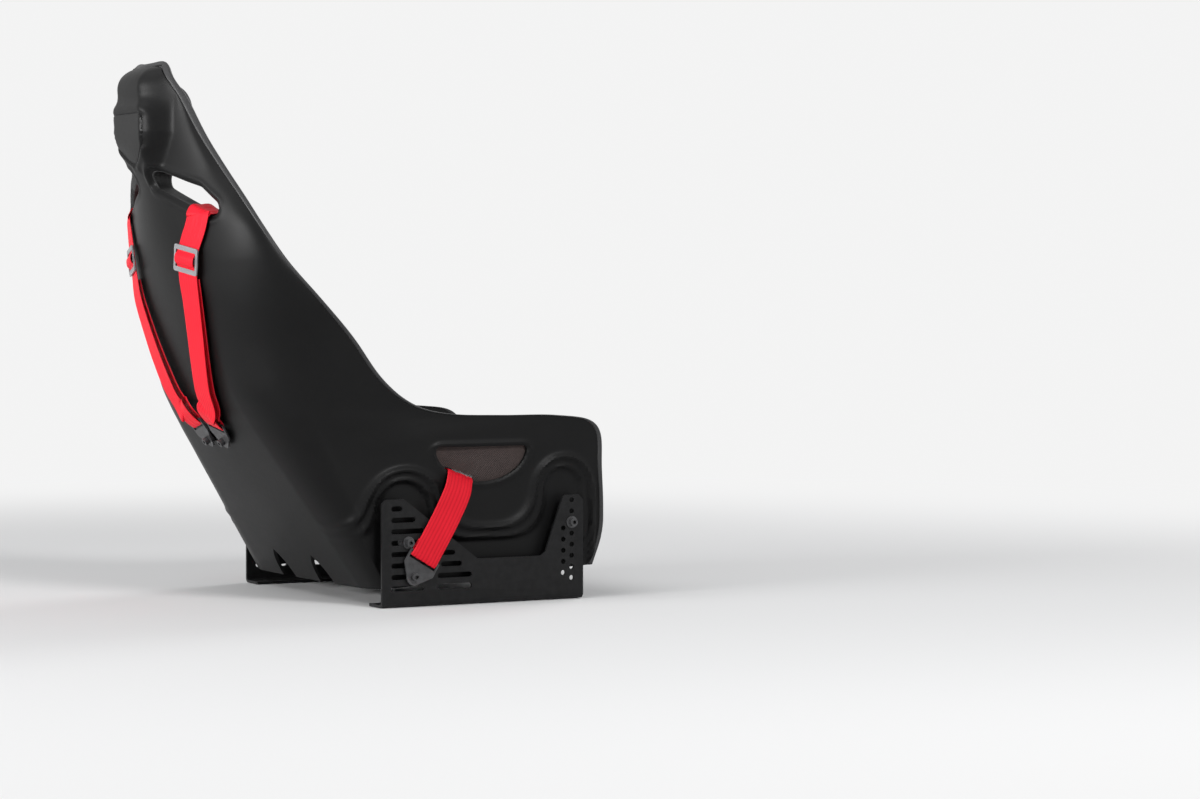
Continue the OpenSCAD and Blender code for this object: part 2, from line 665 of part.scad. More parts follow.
module slot_2d(y0, y1, z) {
  r = slot_width / 2;
  for (y = [y0 - r, y1 + r]) translate([y, z]) circle(r = r, $fn = 32);
  translate([y1 + r, z - r]) square([y0 - y1 - 2 * r, 2 * r]);
}

module bracket(side) {
  color([0.06, 0.06, 0.06])
    on_side(side)
      difference() {
        union() {
          translate([bracket_inner, 0, 0])
            rotate([90, 0, 90])
              linear_extrude(bracket_steel) bracket_outline();
          translate([0, half_length, 0])
            rotate([90, 0, 0])
              linear_extrude(bracket_length) foot_profile();
        }
        for (y = [-foot_hole_pitch / 2, foot_hole_pitch / 2])
          translate([bracket_outer - foot_hole_inset, y, -1])
            cylinder(h = bracket_steel + 2, r = foot_hole / 2, $fn = 48);
      }
}

module foot_profile() {
  translate([bracket_outer - flange_width, 0]) square([flange_width - bend, bracket_steel]);
  intersection() {
    translate([bracket_outer - bend, bend])
      difference() {
        circle(r = bend, $fn = 48);
        circle(r = bend - bracket_steel, $fn = 48);
      }
    translate([bracket_outer - bend, 0]) square([bend, bend]);
  }
}

// ---- bracket fasteners ----
module for_bracket_screws() {
  for (side = [1, -1], place = screw_places)
    on_side(side) translate([0, place[0], place[1]]) rotate([0, 90, 0]) children();
}

module socket_screw(x_head, length) {
  difference() {
    union() {
      translate([0, 0, x_head]) cylinder(h = screw_head_height, r = screw_head / 2, $fn = 48);
      translate([0, 0, x_head - length]) cylinder(h = length, r = screw / 2 - 0.1, $fn = 48);
    }
    translate([0, 0, x_head + screw_head_height / 2]) cylinder(h = screw_head_height, r = screw * 0.43, $fn = 6);
  }
}

insert_length = 14;
module bracket_screws() {
  color([0.05, 0.05, 0.05])
    for_bracket_screws() socket_screw(bracket_outer + washer_thick, 34);
}

module bracket_washers() {
  color([0.1, 0.1, 0.1])
    for_bracket_screws()
      translate([0, 0, bracket_outer])
        difference() {
          cylinder(h = washer_thick, r = washer / 2, $fn = 48);
          translate([0, 0, -1]) cylinder(h = washer_thick + 2, r = screw / 2 + 0.2, $fn = 48);
        }
}

module bracket_spacers() {
  color([0.12, 0.12, 0.12])
    for_bracket_screws()
      translate([0, 0, recess_x])
        difference() {
          cylinder(h = spacer_length, r = spacer_radius, $fn = 48);
          translate([0, 0, -1]) cylinder(h = spacer_length + 2, r = screw / 2 + 0.3, $fn = 48);
        }
}

// A threaded insert has a flange behind the shell and a sleeve that fills the hole in it.
insert_flange = 4;
insert_thread = 5.5;
module shell_inserts() {
  back_face = recess_x - rear_wall - gap;
  color([0.75, 0.6, 0.3])
    for_bracket_screws()
      difference() {
        union() {
          translate([0, 0, back_face - insert_flange - insert_thread])
            cylinder(h = insert_flange + insert_thread + rear_wall + gap, r = insert_radius, $fn = 48);
          translate([0, 0, back_face - insert_flange]) cylinder(h = insert_flange, r = 11, $fn = 48);
        }
        translate([0, 0, recess_x - 40]) cylinder(h = 50, r = screw / 2, $fn = 48);
      }
}

// ---- lap anchors ----
anchor_pivot = [131, slot_rows[1]];
lap_lean = 31;                    // lean of the lap anchor towards the front
shoulder_lean = 14;               // lean of the shoulder anchors away from the middle
bush_length = 3.5;
anchor_face = bracket_outer + bush_length;
bar_reach = 36;                   // from the anchor's screw to the middle of its bar
bar_half = 2.5;

// The anchor plate stands on its screw hole and has a window that leaves a bar for the webbing.
module anchor_plate(width, reach) {
  window = webbing + 2;
  linear_extrude(anchor_steel)
    difference() {
      union() {
        circle(r = 14, $fn = 64);
        polygon([[-12, -7], [12, -7], [width / 2, reach - 22], [width / 2, reach + bar_half],
                 [-width / 2, reach + bar_half], [-width / 2, reach - 22]]);
      }
      circle(r = screw / 2 + 0.3, $fn = 48);
      translate([-window / 2, reach - bar_half - 9]) square([window, 9]);
    }
}

module lap_frame(side) {
  on_side(side)
    translate([0, anchor_pivot[0], anchor_pivot[1]])
      rotate([lap_lean, 0, 0])
        rotate([90, 0, 90])
          children();
}

module lap_anchor(side) {
  color([0.05, 0.05, 0.05])
    lap_frame(side) translate([0, 0, anchor_face]) anchor_plate(webbing + 9, bar_reach);
}

module lap_anchor_screws() {
  color([0.05, 0.05, 0.05])
    for (side = [-1, 1])
      lap_frame(side) socket_screw(anchor_face + anchor_steel + 0.05, 24);
}

module lap_anchor_bushes() {
  color([0.7, 0.7, 0.7])
    for (side = [-1, 1])
      lap_frame(side)
        difference() {
          union() {
            translate([0, 0, bracket_outer]) cylinder(h = bush_length - 0.05, r = 9, $fn = 48);
            translate([0, 0, bracket_inner - 6.5]) cylinder(h = 6.5, r = 7.5, $fn = 6);
          }
          translate([0, 0, bracket_inner - 8])
            cylinder(h = bracket_steel + bush_length + 10, r = screw / 2, $fn = 48);
        }
}

// ---- webbing routes ----
// Lap webbing: round the anchor's bar, up the side, over the lip of the hip slot and across the cushion
function on_lap_anchor(x, along, across = 0) =
  [x, anchor_pivot[0] - along * sin(lap_lean) + across * cos(lap_lean),
      anchor_pivot[1] + along * cos(lap_lean) + across * sin(lap_lean)];
strap_gap = 0.8;
lap_outer = anchor_face + anchor_steel + strap_gap + webbing_thick / 2;
lap_inner = anchor_face - strap_gap - webbing_thick / 2;
buckle_y = 22;
buckle_z = over_front(18, 0, seat_pad + gap).z + 6.2;
tongue_z = buckle_z + 10;
tongue_reach = 75;                // from the middle of the buckle to a tongue's outer edge
buckle_turns = [0, 180, 56, 124];
lap_stops = [
  on_lap_anchor(anchor_face + 1.5, bar_reach + 22),
  on_lap_anchor(lap_inner + 0.4, bar_reach + 10),
  on_lap_anchor(lap_inner, bar_reach),
  on_lap_anchor(anchor_face + 1.5, bar_reach - bar_half - 4.2),
  on_lap_anchor(lap_outer, bar_reach),
  on_lap_anchor(lap_outer, bar_reach + 10),
  [lap_outer - 1, 76, 140],
  [hip + 15, 52, 182],
  [hip + 9, 43, 204],
  [hip - 2, 38, 213],
  [hip - 22, 36, 214],
  [hip - 50, 34, 206],
  [186, 30, 186],
  [156, 27, tongue_z + 14],
  [124, 25, tongue_z + 3],
  [98, 22, tongue_z + 0.5],
  [tongue_reach + 0.6, 22, tongue_z]];
lap_tilt = [0, cos(lap_lean), sin(lap_lean)];
lap_across = [lap_tilt, lap_tilt, lap_tilt, lap_tilt, lap_tilt, lap_tilt, lap_tilt, lap_tilt,
              [0, 0.88, 0.47], [0, 0.92, 0.38], [0, 0.95, 0.31], [0, 0.98, 0.2], [0, 1, 0], [0, 1, 0],
              [0, 1, 0], [0, 1, 0], [0, 1, 0]];
module lap_strap(side) {
  color([0.85, 0.05, 0.1])
    on_side(side) ribbon(smoothed(lap_stops, 48), smoothed(lap_across, 48));
}

// Shoulder webbing: from the buckle up the cushions, over the lip of the slot, down to the anchor's bar
// and doubled back up under the rear adjuster
pad_heights = [[6.9, 8], [7.6, back_pad * 0.6], [8.3, back_pad], [11, back_pad], [12, lumbar_pad],
               [15.4, lumbar_pad], [16.4, seat_pad]];
function on_pads(j, u, extra = 3.6) = over_front(j, u, gap + extra + lookup(j, pad_heights));
strap_foot = [shoulder_anchor_pitch / 2, anchor_y, anchor_z];
back_up = [0, sin(back_lean), cos(back_lean)];
back_out = [0, cos(back_lean), -sin(back_lean)];
function on_shoulder_anchor(out, along) =
  strap_foot + (back_up * cos(shoulder_lean) + [sin(shoulder_lean), 0, 0]) * along + back_out * out;
anchor_bush = 4;
slot_floor = back(0.62) - 18;
function beyond_tongue(out, rise) =
  [0, buckle_y, tongue_z + rise] + [cos(buckle_turns[2]), sin(buckle_turns[2]), 0] * (tongue_reach + out);
shoulder_stops = [
  beyond_tongue(1.6, 0),
  beyond_tongue(28, 7),
  on_pads(16.0, 0.09),
  on_pads(15.2, 0.095),
  on_pads(14.4, 0.10),
  on_pads(13.5, 0.12),
  on_pads(12.5, 0.15),
  on_pads(11.5, 0.18),
  on_pads(10.5, 0.215),
  on_pads(9.5, 0.25),
  on_pads(8.5, 0.29),
  on_pads(7.7, 0.325),
  [strap_offset - 2, 406, slot_floor - 14],
  [strap_offset, 421, slot_floor + 3],
  [strap_offset, 437, slot_floor + 4],
  [strap_offset, 451, slot_floor + 3],
  [strap_offset - 0.5, 459, slot_floor - 4],
  on_back(12.35, 0.33, 4),
  on_back(11.97, 0.315, 4.5),
  on_back(11.3, 0.29, 6),
  on_back(10.6, 0.274, 8),
  on_back(9.9, 0.25, 11),
  on_back(9.18, 0.207, 13),
  on_back(8.65, 0.174, 14.5),
  on_back(8.04, 0.14, 15.5),
  on_back(7.37, 0.115, 15),
  on_shoulder_anchor(14, bar_reach + 22),
  on_shoulder_anchor(11.6, bar_reach + 4),
  on_shoulder_anchor(6.7, bar_reach - 7.7),
  on_shoulder_anchor(3.2, bar_reach + 2),
  on_shoulder_anchor(4.5, bar_reach + 20),
  on_back(7.37, 0.115, 5.5),
  on_back(8.04, 0.14, 6.5),
  on_back(8.65, 0.174, 6.5),
  on_back(9.18, 0.207, 6),
  on_back(9.9, 0.25, 5),
  on_back(10.5, 0.272, 4)];
turned_across = [cos(shoulder_lean), -sin(shoulder_lean) * back_up.y, -sin(shoulder_lean) * back_up.z];
function along_back(s, u) = unit(rear_point(s, u + 0.03) - rear_point(s, u - 0.03));
slot_across = [0.94, -0.06, -0.33];
shoulder_across = concat(
  [[0.83, -0.56, 0], [0.95, -0.3, 0]],
  [for (k = [2:10]) [1, -0.12, 0]],
  [[1, -0.14, -0.12], [0.97, -0.12, -0.24], slot_across, slot_across, slot_across, [0.95, -0.2, -0.2],
   along_back(12.35, 0.33), along_back(11.97, 0.315), along_back(11.3, 0.29), along_back(10.6, 0.274),
   along_back(9.9, 0.25), along_back(9.18, 0.207), along_back(8.65, 0.174), along_back(8.04, 0.14),
   along_back(7.37, 0.115)],
  [for (k = [0:4]) turned_across],
  [along_back(7.37, 0.115), along_back(8.04, 0.14), along_back(8.65, 0.174), along_back(9.18, 0.207),
   along_back(9.9, 0.25), along_back(10.5, 0.272)]);
strap_rings = 90;
module shoulder_strap(side) {
  color([0.85, 0.05, 0.1])
    on_side(side) ribbon(smoothed(shoulder_stops, strap_rings), smoothed(shoulder_across, strap_rings));
}

// Puts children on the outer face of the shoulder webbing at a stop, with +Y along it and +Z away from it
module on_strap(stop, lift) {
  d = unit(row_at(shoulder_stops, stop + 0.3) - row_at(shoulder_stops, stop - 0.3));
  raw = row_at(shoulder_across, stop);
  w = unit(raw - d * (raw * d));
  n = cross(w, d);
  o = row_at(shoulder_stops, stop) + n * (webbing_thick / 2 + lift);
  multmatrix([[w.x, d.x, n.x, o.x], [w.y, d.y, n.y, o.y], [w.z, d.z, n.z, o.z], [0, 0, 0, 1]]) children();
}

// ---- shoulder anchors ----
module shoulder_anchor(side) {
  color([0.05, 0.05, 0.05])
    at_shoulder_anchor(side)
      translate([0, 0, anchor_bush + 1.2])
        anchor_plate(webbing + 9, bar_reach);
}

module shoulder_anchor_screws() {
  color([0.05, 0.05, 0.05])
    for (side = [-1, 1])
      at_shoulder_anchor(side) {
        socket_screw(anchor_bush + 1.2 + anchor_steel + 0.05, 22);
        difference() {
          translate([0, 0, 0.2]) cylinder(h = anchor_bush + 0.9, r = 9, $fn = 48);
          cylinder(h = anchor_bush + 2, r = screw / 2 - 0.05, $fn = 48);
        }
      }
}

module shoulder_anchor_plate() {
  color([0.4, 0.4, 0.42])
    translate([0, anchor_y, anchor_z])
      rotate([90 + back_lean, 0, 180])
        translate([0, 0, -rear_wall - 4.3])
          difference() {
            linear_extrude(3)
              offset(r = 6, $fn = 32)
                square([shoulder_anchor_pitch + 28, 28], center = true);
            for (x = [-0.5, 0.5])
              translate([x * shoulder_anchor_pitch, 0, -1])
                cylinder(h = 5, r = screw / 2, $fn = 48);
          }
}

// ---- adjusters ----
// A frame with a middle bar that the webbing is doubled over
module adjuster(width = webbing + 12, height = 44) {
  window = webbing + 2;
  linear_extrude(2.5)
    difference() {
      offset(r = 4, $fn = 32) square([width - 8, height - 8], center = true);
      for (y = [-1, 1])
        translate([0, y * 9]) square([window, 10], center = true);
    }
}

adjuster_lift = 0.9;
module rear_adjuster(side) {
  color([0.6, 0.6, 0.62])
    on_side(side) on_strap(19.3, adjuster_lift) adjuster();
}

module front_adjuster(side) {
  color([0.08, 0.08, 0.08])
    on_side(side) on_strap(6.5, adjuster_lift) adjuster();
}

// ---- buckle ----
// Four spring steel pawls drop their pins into the tongues, and ramps on the cam lift them out.
buckle_floor = 4;
buckle_ceiling = buckle_height - 3;
buckle_wall = 8;
tongue_middle = 10;               // height of the middle of the tongues over the base
tongue_slot = anchor_steel + 0.8;
slot_half = 11;                   // half width of the slot that a tongue goes into
shaft_radius = 6.6;
cam_radius = 13.5;
cam_top = 11.7;
pin_radius = 2.6;
pin_place = 20;                   // from the middle of the buckle to a pin
arm_low = 12;
arm_thick = 1.6;
pawl_lift = 3;
ramp_start = 7;                   // angle between an arm and the start of its ramp
ramp_inner = 8.5;
module buckle_frame() translate([0, buckle_y, buckle_z]) children();

module buckle_base() {
  color([0.35, 0.35, 0.36])
    buckle_frame() cylinder(h = buckle_floor, r = buckle_width / 2, $fn = 96);
}

module buckle_housing() {
  color([0.07, 0.07, 0.07])
    buckle_frame()
      difference() {
        translate([0, 0, buckle_floor]) cylinder(h = buckle_height - buckle_floor, r = buckle_width / 2, $fn = 96);
        translate([0, 0, buckle_floor - 1])
          cylinder(h = buckle_ceiling - buckle_floor + 1, r = buckle_width / 2 - buckle_wall, $fn = 96);
        cylinder(h = buckle_height + 1, r = shaft_radius + 0.4, $fn = 48);
        for (turn = buckle_turns)
          rotate([0, 0, turn])
            translate([pin_place, -slot_half, tongue_middle - tongue_slot / 2])
              cube([buckle_width / 2, 2 * slot_half, tongue_slot]);
      }
}

module release_knob() {
  color([0.75, 0.08, 0.1])
    buckle_frame()
      translate([0, 0, buckle_height + 0.3])
        difference() {
          union() {
            cylinder(h = knob_height * 0.5, r = knob_width / 2, $fn = 96);
            for (turn = [0:60:120])
              rotate([0, 0, turn])
                translate([-knob_width / 2 + 2, -5, 0])
                  cube([knob_width - 4, 10, knob_height]);
            translate([0, 0, cam_top - buckle_height - 0.3])
              cylinder(h = buckle_height - cam_top + 1, r = shaft_radius, $fn = 48);
          }
          translate([0, 0, knob_height - 1.5]) cylinder(h = 3, r = 8, $fn = 48);
        }
}

// Each ramp rises away from its arm, so that turning the knob slides it under the arm.
module cam_ramp() {
  length = cam_radius * sin(knob_turn) - 1;
  intersection() {
    translate([0, 0, cam_top - 2])
      difference() {
        cylinder(h = pawl_lift + 2, r = cam_radius - 0.6, $fn = 64);
        translate([0, 0, -1]) cylinder(h = pawl_lift + 4, r = 9, $fn = 48);
      }
    rotate([0, 0, -ramp_start])
      translate([0, 0, cam_top - 0.1])
        rotate([-atan(pawl_lift * 0.85 / length), 0, 0])
          translate([ramp_inner, -length, -3])
            cube([cam_radius - ramp_inner + 1, length, 3]);
  }
}

module latch_cam() {
  color([0.6, 0.6, 0.6])
    buckle_frame() {
      translate([0, 0, buckle_floor + gap])
        cylinder(h = cam_top - buckle_floor - gap, r = cam_radius, $fn = 64);
      for (turn = buckle_turns) rotate([0, 0, turn]) cam_ramp();
    }
}

module knob_spring() {
  color([0.8, 0.8, 0.8])
    buckle_frame()
      translate([0, 0, buckle_ceiling - 1.9])
        difference() {
          cylinder(h = 1.9, r = 11, $fn = 64);
          translate([0, 0, -1]) cylinder(h = 4, r = 8, $fn = 48);
        }
}

module pawl(turn) {
  color([0.5, 0.5, 0.5])
    buckle_frame()
      rotate([0, 0, turn]) {
        translate([9, -1.2, arm_low]) cube([pin_place - 9, 2.4, arm_thick]);
        translate([pin_place, 0, tongue_middle - 1])
          cylinder(h = arm_low + arm_thick - tongue_middle + 1, r = pin_radius, $fn = 48);
      }
}

// A point of a tongue's outline is its distance from the middle of the buckle and its half width.
tongue_outline = [[15, 5], [18, 6.5], [26, 9.5], [42, 11.5], [58, webbing / 2 + 5],
                  [tongue_reach, webbing / 2 + 5]];
module tongue(turn) {
  last = len(tongue_outline) - 1;
  color([0.65, 0.65, 0.66])
    buckle_frame()
      rotate([0, 0, turn])
        translate([0, 0, tongue_middle - anchor_steel / 2])
          linear_extrude(anchor_steel)
            difference() {
              polygon(concat(tongue_outline, [for (k = [last:-1:0]) [tongue_outline[k].x, -tongue_outline[k].y]]));
              translate([pin_place, 0]) circle(r = pin_radius + 0.4, $fn = 48);
              translate([tongue_reach - 15, -webbing / 2 - 1]) square([10, webbing + 2]);
            }
}

// ---- placement ----
rear_shell();
front_shell();
rim_trim();
head_shield();
crotch_slot_collar();
seat_cushion();
lumbar_cushion();
back_cushion();
head_cushion();
bracket_screws();
bracket_washers();
bracket_spacers();
shell_inserts();
shoulder_anchor_screws();
shoulder_anchor_plate();
lap_anchor_screws();
lap_anchor_bushes();
buckle_base();
buckle_housing();
release_knob();
latch_cam();
knob_spring();
pawl(buckle_turns[0]);  // left_lap_pawl
pawl(buckle_turns[1]);  // right_lap_pawl
pawl(buckle_turns[2]);  // left_shoulder_pawl
pawl(buckle_turns[3]);  // right_shoulder_pawl
shoulder_slot_tunnel(1);  // left_shoulder_slot_tunnel
shoulder_slot_tunnel(-1);  // right_shoulder_slot_tunnel
hip_mesh(1);  // left_hip_mesh
hip_mesh(-1);  // right_hip_mesh
thigh_bolster(1);  // left_thigh_bolster
thigh_bolster(-1);  // right_thigh_bolster
rib_bolster(1);  // left_rib_bolster
rib_bolster(-1);  // right_rib_bolster
shoulder_bolster(1);  // left_shoulder_bolster
shoulder_bolster(-1);  // right_shoulder_bolster
bracket(1);  // left_bracket
bracket(-1);  // right_bracket
lap_anchor(1);  // left_lap_anchor
lap_anchor(-1);  // right_lap_anchor
lap_strap(1);  // left_lap_strap
lap_strap(-1);  // right_lap_strap
tongue(buckle_turns[0]);  // left_lap_tongue
tongue(buckle_turns[1]);  // right_lap_tongue
tongue(buckle_turns[2]);  // left_shoulder_tongue
tongue(buckle_turns[3]);  // right_shoulder_tongue
shoulder_anchor(1);  // left_shoulder_anchor
shoulder_anchor(-1);  // right_shoulder_anchor
shoulder_strap(1);  // left_shoulder_strap
shoulder_strap(-1);  // right_shoulder_strap
rear_adjuster(1);  // left_rear_adjuster
rear_adjuster(-1);  // right_rear_adjuster
front_adjuster(1);  // left_front_adjuster
front_adjuster(-1);  // right_front_adjuster
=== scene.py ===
"""Looks of a racing bucket seat on side brackets, with its harness."""

import math

import bmesh
import bpy
import numpy as np
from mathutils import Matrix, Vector
from mathutils.kdtree import KDTree


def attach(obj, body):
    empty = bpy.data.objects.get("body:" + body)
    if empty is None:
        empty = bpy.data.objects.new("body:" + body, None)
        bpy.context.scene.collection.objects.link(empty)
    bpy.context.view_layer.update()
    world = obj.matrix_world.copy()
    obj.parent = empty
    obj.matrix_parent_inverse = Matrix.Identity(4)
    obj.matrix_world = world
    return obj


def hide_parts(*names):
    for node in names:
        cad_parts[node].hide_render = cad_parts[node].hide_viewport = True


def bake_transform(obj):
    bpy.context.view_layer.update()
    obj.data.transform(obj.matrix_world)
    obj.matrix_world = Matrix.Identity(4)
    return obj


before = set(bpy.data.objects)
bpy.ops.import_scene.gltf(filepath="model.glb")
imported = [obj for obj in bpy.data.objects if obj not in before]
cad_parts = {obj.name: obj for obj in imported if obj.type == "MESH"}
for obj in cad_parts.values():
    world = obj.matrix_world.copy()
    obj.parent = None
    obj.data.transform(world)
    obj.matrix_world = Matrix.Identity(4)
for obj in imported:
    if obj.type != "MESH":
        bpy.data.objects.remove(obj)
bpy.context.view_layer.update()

MM = 0.001
BODY = "seat"
SIDES = {"left": 1, "right": -1}
ACROSS, DEEP, UP = 0, 1, 2
MIRROR = np.array([-1, 1, 1])
FAR = 99.0
SHARP_ANGLE, BEVEL_ANGLE = 40, 32

# ---- sizes of the seat, in millimetres ----
SEAT_HEIGHT = 886.0
HIP = 262.0
SHOULDER = 283.0
HEAD = 104.0
THIGH_HEIGHT = 306.0
SHELL_LIFT = 27.0
PAN_HEIGHT = 101.0
REAR_WALL = 5.0
FRONT_WALL = 4.0
SHELL_GAP = 0.8
FRONT_DROP = 3.5
RECESS_X = HIP - 9.0
HEAD_BULGE = 26.0
TRIM_HEIGHT = 7.0
HEAD_TRIM = 12.0
ROW_TOP = 19
CREASE = 0.28
WALL = 0.48
CREASE_DROP = 0.3
WALL_RUN = 250.0
BELLY_RISE = 9.5
SIDE_ROWS, SLOT_ROWS, POD_ROWS, FRONT_SLOT_ROWS = 6.5, 11.5, 12, 11
SEAT_PAD, LUMBAR_PAD, BACK_PAD, HEAD_PAD, BOLSTER_PAD = 44.0, 36.0, 30.0, 32.0, 30.0
WEBBING = 50.0
WEBBING_THICK = 1.6


def base(share):
    return SHELL_LIFT + share * (THIGH_HEIGHT - SHELL_LIFT)


def back(share):
    return THIGH_HEIGHT + share * (SEAT_HEIGHT - THIGH_HEIGHT)


# back y, back z, flat half width, corner x, depth and reach, rim x, y, z, belly of the side
REAR_ROWS = np.array([
    [192, base(0.000), 197, HIP - 10, 10, 20, HIP - 5, -214, base(0.097), 4],
    [241, base(0.262), 188, HIP - 4, 18, 28, HIP - 3, -233, base(0.319), 6],
    [284, base(0.495), 176, HIP - 7, 21, 36, HIP - 2, -231, base(0.674), 6],
    [317, base(0.674), 167, HIP - 11, 22, 44, HIP - 1, -222, base(0.940), 6],
    [337, base(0.781), 162, HIP - 14, 24, 48, HIP, -149, back(0.001), 6],
    [354, base(0.871), 157, HIP - 17, 25, 52, HIP, -40, back(0.005), 5],
    [368, base(0.950), 153, HIP - 20, 26, 57, HIP, 58, back(0.012), 4],
    [383, back(0.021), 148, HIP - 24, 25, 62, HIP + 1, 125, back(0.042), 3],
    [401, back(0.085), 143, HIP - 30, 24, 72, HIP + 6, 183, back(0.116), 2],
    [425, back(0.205), 134, SHOULDER - 56, 30, 83, SHOULDER - 6, 238, back(0.232), 1],
    [450, back(0.343), 124, SHOULDER - 50, 35, 80, SHOULDER, 298, back(0.340), 0],
    [465, back(0.438), 110, SHOULDER - 51, 41, 70, SHOULDER - 6, 350, back(0.438), 0],
    [476, back(0.533), 95, SHOULDER - 65, 45, 55, SHOULDER - 26, 383, back(0.533), 0],
    [482, back(0.619), 80, SHOULDER - 96, 41, 40, SHOULDER - 60, 401, back(0.616), 0],
    [487, back(0.705), 62, HEAD + 42, 34, 26, HEAD + 77, 417, back(0.700), 0],
    [490, back(0.791), 52, HEAD + 16, 27, 18, HEAD + 42, 435, back(0.786), 0],
    [491, back(0.863), 46, HEAD - 1, 22, 13, HEAD + 16, 449, back(0.866), 0],
    [491, back(0.919), 40, HEAD - 12, 17, 10, HEAD, 461, back(0.929), 0],
    [490, back(0.956), 32, HEAD - 28, 13, 8, HEAD - 13, 472, back(0.970), 0],
    [484, SEAT_HEIGHT - HEAD_TRIM, 24, HEAD - 54, 6, 8, HEAD - 32, 479, back(0.992), 0]])

# row of the rim, middle y and z, flat half width, corner x, depth and reach
FRONT_ROWS = np.array([
    [19.0, 474, SEAT_HEIGHT - HEAD_TRIM - 8, 22, HEAD - 58, 5, 5],
    [18.0, 472, back(0.957), 28, HEAD - 38, 8, 8],
    [17.0, 468, back(0.918), 36, HEAD - 24, 10, 10],
    [16.0, 463, back(0.868), 42, HEAD - 12, 13, 14],
    [15.0, 457, back(0.787), 48, HEAD, 15, 20],
    [14.0, 453, back(0.700), 58, HEAD + 24, 19, 25],
    [13.0, 450, back(0.614), 75, SHOULDER - 118, 24, 35],
    [12.0, 444, back(0.528), 90, SHOULDER - 88, 28, 45],
    [11.0, 432, back(0.434), 103, SHOULDER - 71, 30, 60],
    [10.0, 414, back(0.341), 112, SHOULDER - 69, 30, 70],
    [9.0, 391, back(0.248), 118, HIP - 50, 28, 75],
    [8.0, 364, back(0.155), 124, HIP - 52, 26, 75],
    [7.1, 333, back(0.059), 130, HIP - 54, 24, 72],
    [6.5, 296, base(0.925), 136, HIP - 55, 22, 70],
    [6.0, 252, base(0.728), 142, HIP - 56, 20, 68],
    [5.6, 202, PAN_HEIGHT + 77, 148, HIP - 56, 18, 66],
    [5.2, 148, PAN_HEIGHT + 35, 152, HIP - 56, 17, 64],
    [4.85, 88, PAN_HEIGHT + 9, 156, HIP - 55, 17, 62],
    [4.5, 22, PAN_HEIGHT, 160, HIP - 53, 17, 60],
    [4.15, -48, PAN_HEIGHT + 11, 164, HIP - 51, 18, 55],
    [3.8, -118, PAN_HEIGHT + 32, 168, HIP - 48, 18, 50],
    [3.4, -182, PAN_HEIGHT + 55, 174, HIP - 44, 18, 45],
    [3.0, -224, PAN_HEIGHT + 74, 182, HIP - 38, 16, 40],
    [2.6, -241, PAN_HEIGHT + 64, 190, HIP - 30, 14, 30],
    [2.0, -247, PAN_HEIGHT + 26, 196, HIP - 24, 10, 24],
    [1.2, -244, PAN_HEIGHT - 12, 200, HIP - 21, 8, 20],
    [0.0, -226, base(0.11), 200, HIP - 21, 4, 16]])
FRONT_LAST = len(FRONT_ROWS) - 1


# ---- curves ----
def mix(a, b, t):
    return a + (b - a) * t


def clamp(t, low=0.0, high=1.0):
    return np.clip(t, low, high)


def ease(t):
    t = clamp(t)
    return t * t * (3 - 2 * t)


def hump(distance, width):
    return np.exp(-(distance / width) ** 2)


def unit(v):
    return v / np.maximum(np.linalg.norm(v, axis=-1, keepdims=True), 1e-9)


def runs(*parts):
    """Evenly spaced runs, each (from, to, count), joined at the ends that they share."""
    spaced = [np.linspace(*part) for part in parts]
    return np.concatenate([run[:-1] for run in spaced[:-1]] + spaced[-1:])


def both_halves(half):
    return np.concatenate([-half[:0:-1], half])[None]


def travel_along(path):
    return np.concatenate([[0], np.cumsum(np.linalg.norm(np.diff(path, axis=0), axis=1))])


def row_at(rows, s):
    s = np.asarray(s, float)
    last = len(rows) - 1
    i = clamp(np.floor(s), 0, last - 1).astype(int)
    t = (s - i)[..., None]
    p0, p1 = rows[i], rows[i + 1]
    before, after = rows[np.maximum(i - 1, 0)], rows[np.minimum(i + 2, last)]
    m0 = np.where((i == 0)[..., None], p1 - p0, (p1 - before) / 2)
    m1 = np.where((i == last - 1)[..., None], p1 - p0, (after - p0) / 2)
    return ((2 * t ** 3 - 3 * t ** 2 + 1) * p0 + (t ** 3 - 2 * t ** 2 + t) * m0
            + (3 * t ** 2 - 2 * t ** 3) * p1 + (t ** 3 - t ** 2) * m1)


